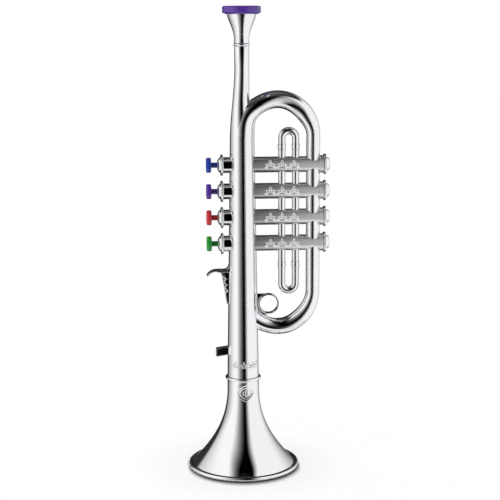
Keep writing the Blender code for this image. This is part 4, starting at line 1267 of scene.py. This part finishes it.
class TRUMPET_OT_stage(bpy.types.Operator):
    """Set the pale floor, the white room with its soft lights, and the camera."""

    bl_idname = "trumpet.stage"
    bl_label = "Floor, light and camera"

    # Mirrored room: angles in degrees, azimuth from the front and positive to the right
    light_lean = 0.7
    left_light = (-144, -132, -4, 4)
    left_dusk = (-138, -64)
    left_dusk_level = 0.38
    dusk_turn = math.radians(26)
    dusk_heights = (-5, 20)
    right_light = (-4, 4, 104, 176)
    right_level = 0.94
    light_heights = (-60, -45, 64, 86)
    ground_heights = (-42, -56)
    ground_sides = (150, 110)
    ground_level = 0.85
    gap_level = 0.03

    # Cloths that only the plating mirrors
    flag_distance = 270 * MM
    flag_width = 1.4
    flag_height = 1.6
    flag_foot = -140 * MM
    flag_wider = 0.38
    flag_wider_heights = (0.22, 0.60)
    flag_left = (0.06, -1.38)
    flag_right = (0.13, 0.70)
    top_height = 480 * MM
    top_radius = 250 * MM
    top_edge = 70 * MM
    top_shift = 10 * MM
    top_middle_level = 0.10
    strip_level = 0.35
    strip_left = (-4 * MM, 4 * MM)
    strip_right = (28 * MM, 20 * MM)
    strip_back = (-38 * MM, -52 * MM)
    strip_front = (-132 * MM, -112 * MM)

    # Floor round the contact, with a painted contact shadow
    floor_radius = 6.0
    floor_glow = 0.9
    contact_shadow_radius = 44 * MM
    contact_shadow_side = 2 * MM
    contact_shadow_front = 8 * MM
    contact_shadow_level = 0.3
    mirror_start = 45 * MM
    mirror_end = 66 * MM
    sheen = 0.06
    sheen_start = 48 * MM
    sheen_end = 95 * MM

    # Camera
    frame_width = 500
    sensor_width = 36
    focal_pixels = 1280.6
    pitch = math.radians(9.953)
    heading = math.radians(4.692)
    extra_heading = math.radians(0.337)
    roll = math.radians(-0.21)
    distance = 1006.6 * MM
    height = 355.2 * MM

    def mirrored_room(self, tree):
        """Brightness of the room that the plating mirrors: soft lights to both sides and a pale floor."""
        x, y, z = tree.axes("Generated")
        azimuth = tree.maths("ARCTAN2", x, tree.times(y, -1))
        elevation = tree.maths("ARCSINE", z)
        turned = tree.plus(azimuth, tree.times(tree.ramp(elevation, *self.dusk_heights), self.dusk_turn))
        left = tree.times(tree.ramp(turned, *self.left_dusk), 1 - self.left_dusk_level)
        left = tree.times(tree.plus(left, self.left_dusk_level), tree.lobe(azimuth, *self.left_light))
        right = tree.times(tree.lobe(azimuth, *self.right_light), self.right_level)
        lights = tree.times(tree.plus(left, right), tree.lobe(elevation, *self.light_heights))
        ground = tree.times(tree.ramp(elevation, *self.ground_heights), self.ground_level)
        ground = tree.times(ground, tree.ramp(tree.maths("ABSOLUTE", azimuth), *self.ground_sides))
        return tree.maths("MAXIMUM", tree.maths("MAXIMUM", lights, ground), self.gap_level)

    def world(self):
        """White room all round, of which glossy surfaces mirror the soft lights and the dark between."""
        room = bpy.data.worlds.new("white_room")
        bpy.context.scene.world = room
        tree = Tree(room)
        lean = tree.times(tree.axes("Generated")["X"], self.light_lean, tree.ray("Is Diffuse Ray"))
        levels = {"A": tree.minus(1, lean), "B": self.mirrored_room(tree)}
        shade = tree.node("Mix", {"Factor": tree.ray("Is Glossy Ray"), **levels}, data_type="FLOAT")
        tree.fill(tree.nodes["Background"], {"Color": shade.outputs["Result"], "Strength": 1})

    def dressed(self, name, material_name):
        """Name the active piece, apply its place and give it a material, whose bare tree comes back."""
        piece = bpy.context.object
        piece.name = piece.data.name = name
        apply_place(piece)
        made, tree, surface = new_material(material_name, (1, 1, 1))
        tree.nodes.remove(surface)
        piece.data.materials.append(made)
        return piece, tree

    def flag(self):
        """Dark cloth in front of the trumpet, with soft sides, that only the plating mirrors."""
        deselect()
        place = (AXIS_X, -self.flag_distance, self.flag_foot + self.flag_height / 2)
        bpy.ops.mesh.primitive_plane_add(size=1, location=place, rotation=(math.pi / 2, 0, 0))
        bpy.context.object.scale = (self.flag_width, self.flag_height, 1)
        flag, tree = self.dressed("dark_flag", "dark_cloth")
        along, height = tree.axes()["X"], tree.axes()["Z"]
        across = tree.maths("DIVIDE", tree.minus(along, AXIS_X), self.flag_distance)
        wider = tree.times(tree.smooth(height, *self.flag_wider_heights), self.flag_wider)
        left = tree.smooth(tree.plus(across, wider), *self.flag_left)
        right = tree.smooth(tree.minus(across, wider), *self.flag_right)
        foot = tree.smooth(height, self.flag_foot / 3, self.flag_foot)
        gap = tree.maths("MAXIMUM", tree.plus(left, right), foot)
        cloth = tree.node("BsdfDiffuse", {"Color": (0, 0, 0, 1)}).outputs["BSDF"]
        tree.show(tree.mix(tree.times(tree.minus(1, gap), tree.ray("Is Glossy Ray")), tree.clear(), cloth))

    def tent_top(self):
        """Dull cloth over the trumpet, with a soft edge and one paler strip, for the plating to mirror."""
        deselect()
        place = (AXIS_X + self.top_shift, 0, self.top_height)
        bpy.ops.mesh.primitive_circle_add(
            vertices=64, radius=self.top_radius, fill_type="NGON", location=place)
        top, tree = self.dressed("tent_top", "grey_cloth")
        reach, depth = tree.reach(place), tree.axes()["Y"]
        across = tree.minus(tree.axes()["X"], AXIS_X)
        strip = tree.times(
            tree.smooth(across, *self.strip_left), tree.smooth(across, *self.strip_right),
            tree.smooth(depth, *self.strip_back), tree.smooth(depth, *self.strip_front), self.strip_level)
        inner = self.top_radius - self.top_edge
        grey = tree.plus(tree.times(tree.smooth(reach, inner, 0), self.top_middle_level), strip)
        cloth = tree.node("Emission", {"Strength": tree.plus(grey, self.gap_level)}).outputs["Emission"]
        shown = tree.times(tree.smooth(reach, self.top_radius, inner), tree.ray("Is Glossy Ray"))
        tree.show(tree.mix(shown, tree.clear(), cloth))

    def floor(self):
        """Large pale disc with a painted contact shadow at the trumpet's foot, and a soft sheen round it that
        mirrors the trumpet.
        """
        deselect()
        bpy.ops.mesh.primitive_circle_add(
            vertices=96, radius=self.floor_radius, fill_type="NGON", location=(0, 0, 0))
        floor, tree = self.dressed("floor", "pale_floor")
        grain, reach = tree.noise(30, 2), tree.reach((AXIS_X, 0, 0))
        facing = tree.maths("DIVIDE", tree.maths("ABSOLUTE", tree.axes()["Y"]), reach)
        width = tree.plus(tree.times(facing, self.contact_shadow_front), self.contact_shadow_side)
        far = tree.maths("DIVIDE", tree.minus(reach, self.contact_shadow_radius), width)
        # Painted shadow: the floor's colour drops to the shadow level at the trumpet's foot, narrow at the
        # sides and wider in front.
        shade = tree.plus(tree.times(tree.smooth(far, 0, 1), 1 - self.contact_shadow_level), self.contact_shadow_level)
        pale = tree.scaled(tree.tinted((0.999, 0.999, 0.999), 0.001, grain), shade)
        matt = tree.node("BsdfDiffuse", {"Color": pale}).outputs["BSDF"]
        glow = tree.node("Emission", {}).outputs["Emission"]
        share = tree.times(tree.smooth(far, 0.3, 1.3), self.floor_glow, tree.ray("Is Camera Ray"))
        polish = tree.node("BsdfAnisotropic", {"Roughness": tree.spread(grain, 0.10, 0.16)}).outputs["BSDF"]
        near = tree.mapped(reach, self.sheen_start, self.sheen_end, self.sheen, 0, "SMOOTHSTEP")
        both = tree.mix(near, tree.mix(share, matt, glow), polish)
        beyond = tree.times(tree.smooth(reach, self.mirror_start, self.mirror_end), tree.ray("Is Glossy Ray"))
        tree.show(tree.mix(beyond, both, tree.clear()))

    def camera(self):
        """Camera at the photo's viewing angle."""
        yaw, pitch = self.heading + self.extra_heading, self.pitch
        forward = Vector((math.sin(yaw) * math.cos(pitch), math.cos(yaw) * math.cos(pitch), -math.sin(pitch)))
        right = Vector((math.cos(yaw), -math.sin(yaw), 0))
        up = right.cross(forward)
        side = right * math.cos(self.roll) + up * math.sin(self.roll)
        top = up * math.cos(self.roll) - right * math.sin(self.roll)
        turn = Matrix((side, top, -forward)).transposed()
        back = Vector((math.sin(self.heading), math.cos(self.heading), 0)) * self.distance
        place = Vector((AXIS_X, 0, self.height)) - back
        deselect()
        bpy.ops.object.camera_add(location=place, rotation=turn.to_euler())
        camera = bpy.context.object
        camera.name = "photo_camera"
        camera.data.sensor_width = self.sensor_width
        camera.data.lens = self.focal_pixels / self.frame_width * self.sensor_width
        camera.data.clip_end = 50
        bpy.context.scene.camera = camera

    def execute(self, context):
        self.world()
        self.flag()
        self.tent_top()
        self.floor()
        self.camera()
        context.scene.view_settings.view_transform = "Standard"
        return {"FINISHED"}


class TRUMPET_PT_panel(bpy.types.Panel):
    """The trumpet's operators and settings."""

    bl_idname = "TRUMPET_PT_panel"
    bl_label = "Toy trumpet"
    bl_space_type = "VIEW_3D"
    bl_region_type = "UI"
    bl_category = "Trumpet"

    def draw(self, context):
        for operator in OPERATORS:
            self.layout.operator(operator.bl_idname)
        for group in (context.scene.trumpet_sizes, context.scene.trumpet_finish):
            box = self.layout.box()
            for name in group.__annotations__:
                box.prop(group, name)


OPERATORS = (
    TRUMPET_OT_bell, TRUMPET_OT_shells, TRUMPET_OT_mouthpiece, TRUMPET_OT_buttons, TRUMPET_OT_caps,
    TRUMPET_OT_hook, TRUMPET_OT_ring, TRUMPET_OT_lug, TRUMPET_OT_inner_finish, TRUMPET_OT_stage,
)
CLASSES = (TrumpetSizes, TrumpetFinish, *OPERATORS, TRUMPET_PT_panel)


def register():
    """Make the classes and settings known to Blender."""
    for item in CLASSES:
        bpy.utils.register_class(item)
    bpy.types.Scene.trumpet_sizes = bpy.props.PointerProperty(type=TrumpetSizes)
    bpy.types.Scene.trumpet_finish = bpy.props.PointerProperty(type=TrumpetFinish)


def unregister():
    """Take the classes and settings away again."""
    del bpy.types.Scene.trumpet_sizes
    del bpy.types.Scene.trumpet_finish
    for item in reversed(CLASSES):
        bpy.utils.unregister_class(item)


def main():
    """Model every piece in turn."""
    register()
    bpy.ops.trumpet.bell()
    bpy.ops.trumpet.shells()
    bpy.ops.trumpet.mouthpiece()
    bpy.ops.trumpet.buttons()
    bpy.ops.trumpet.caps()
    bpy.ops.trumpet.hook()
    bpy.ops.trumpet.ring()
    bpy.ops.trumpet.lug()
    bpy.ops.trumpet.inner_finish()
    bpy.ops.trumpet.stage()


if __name__ == "__main__":
    main()
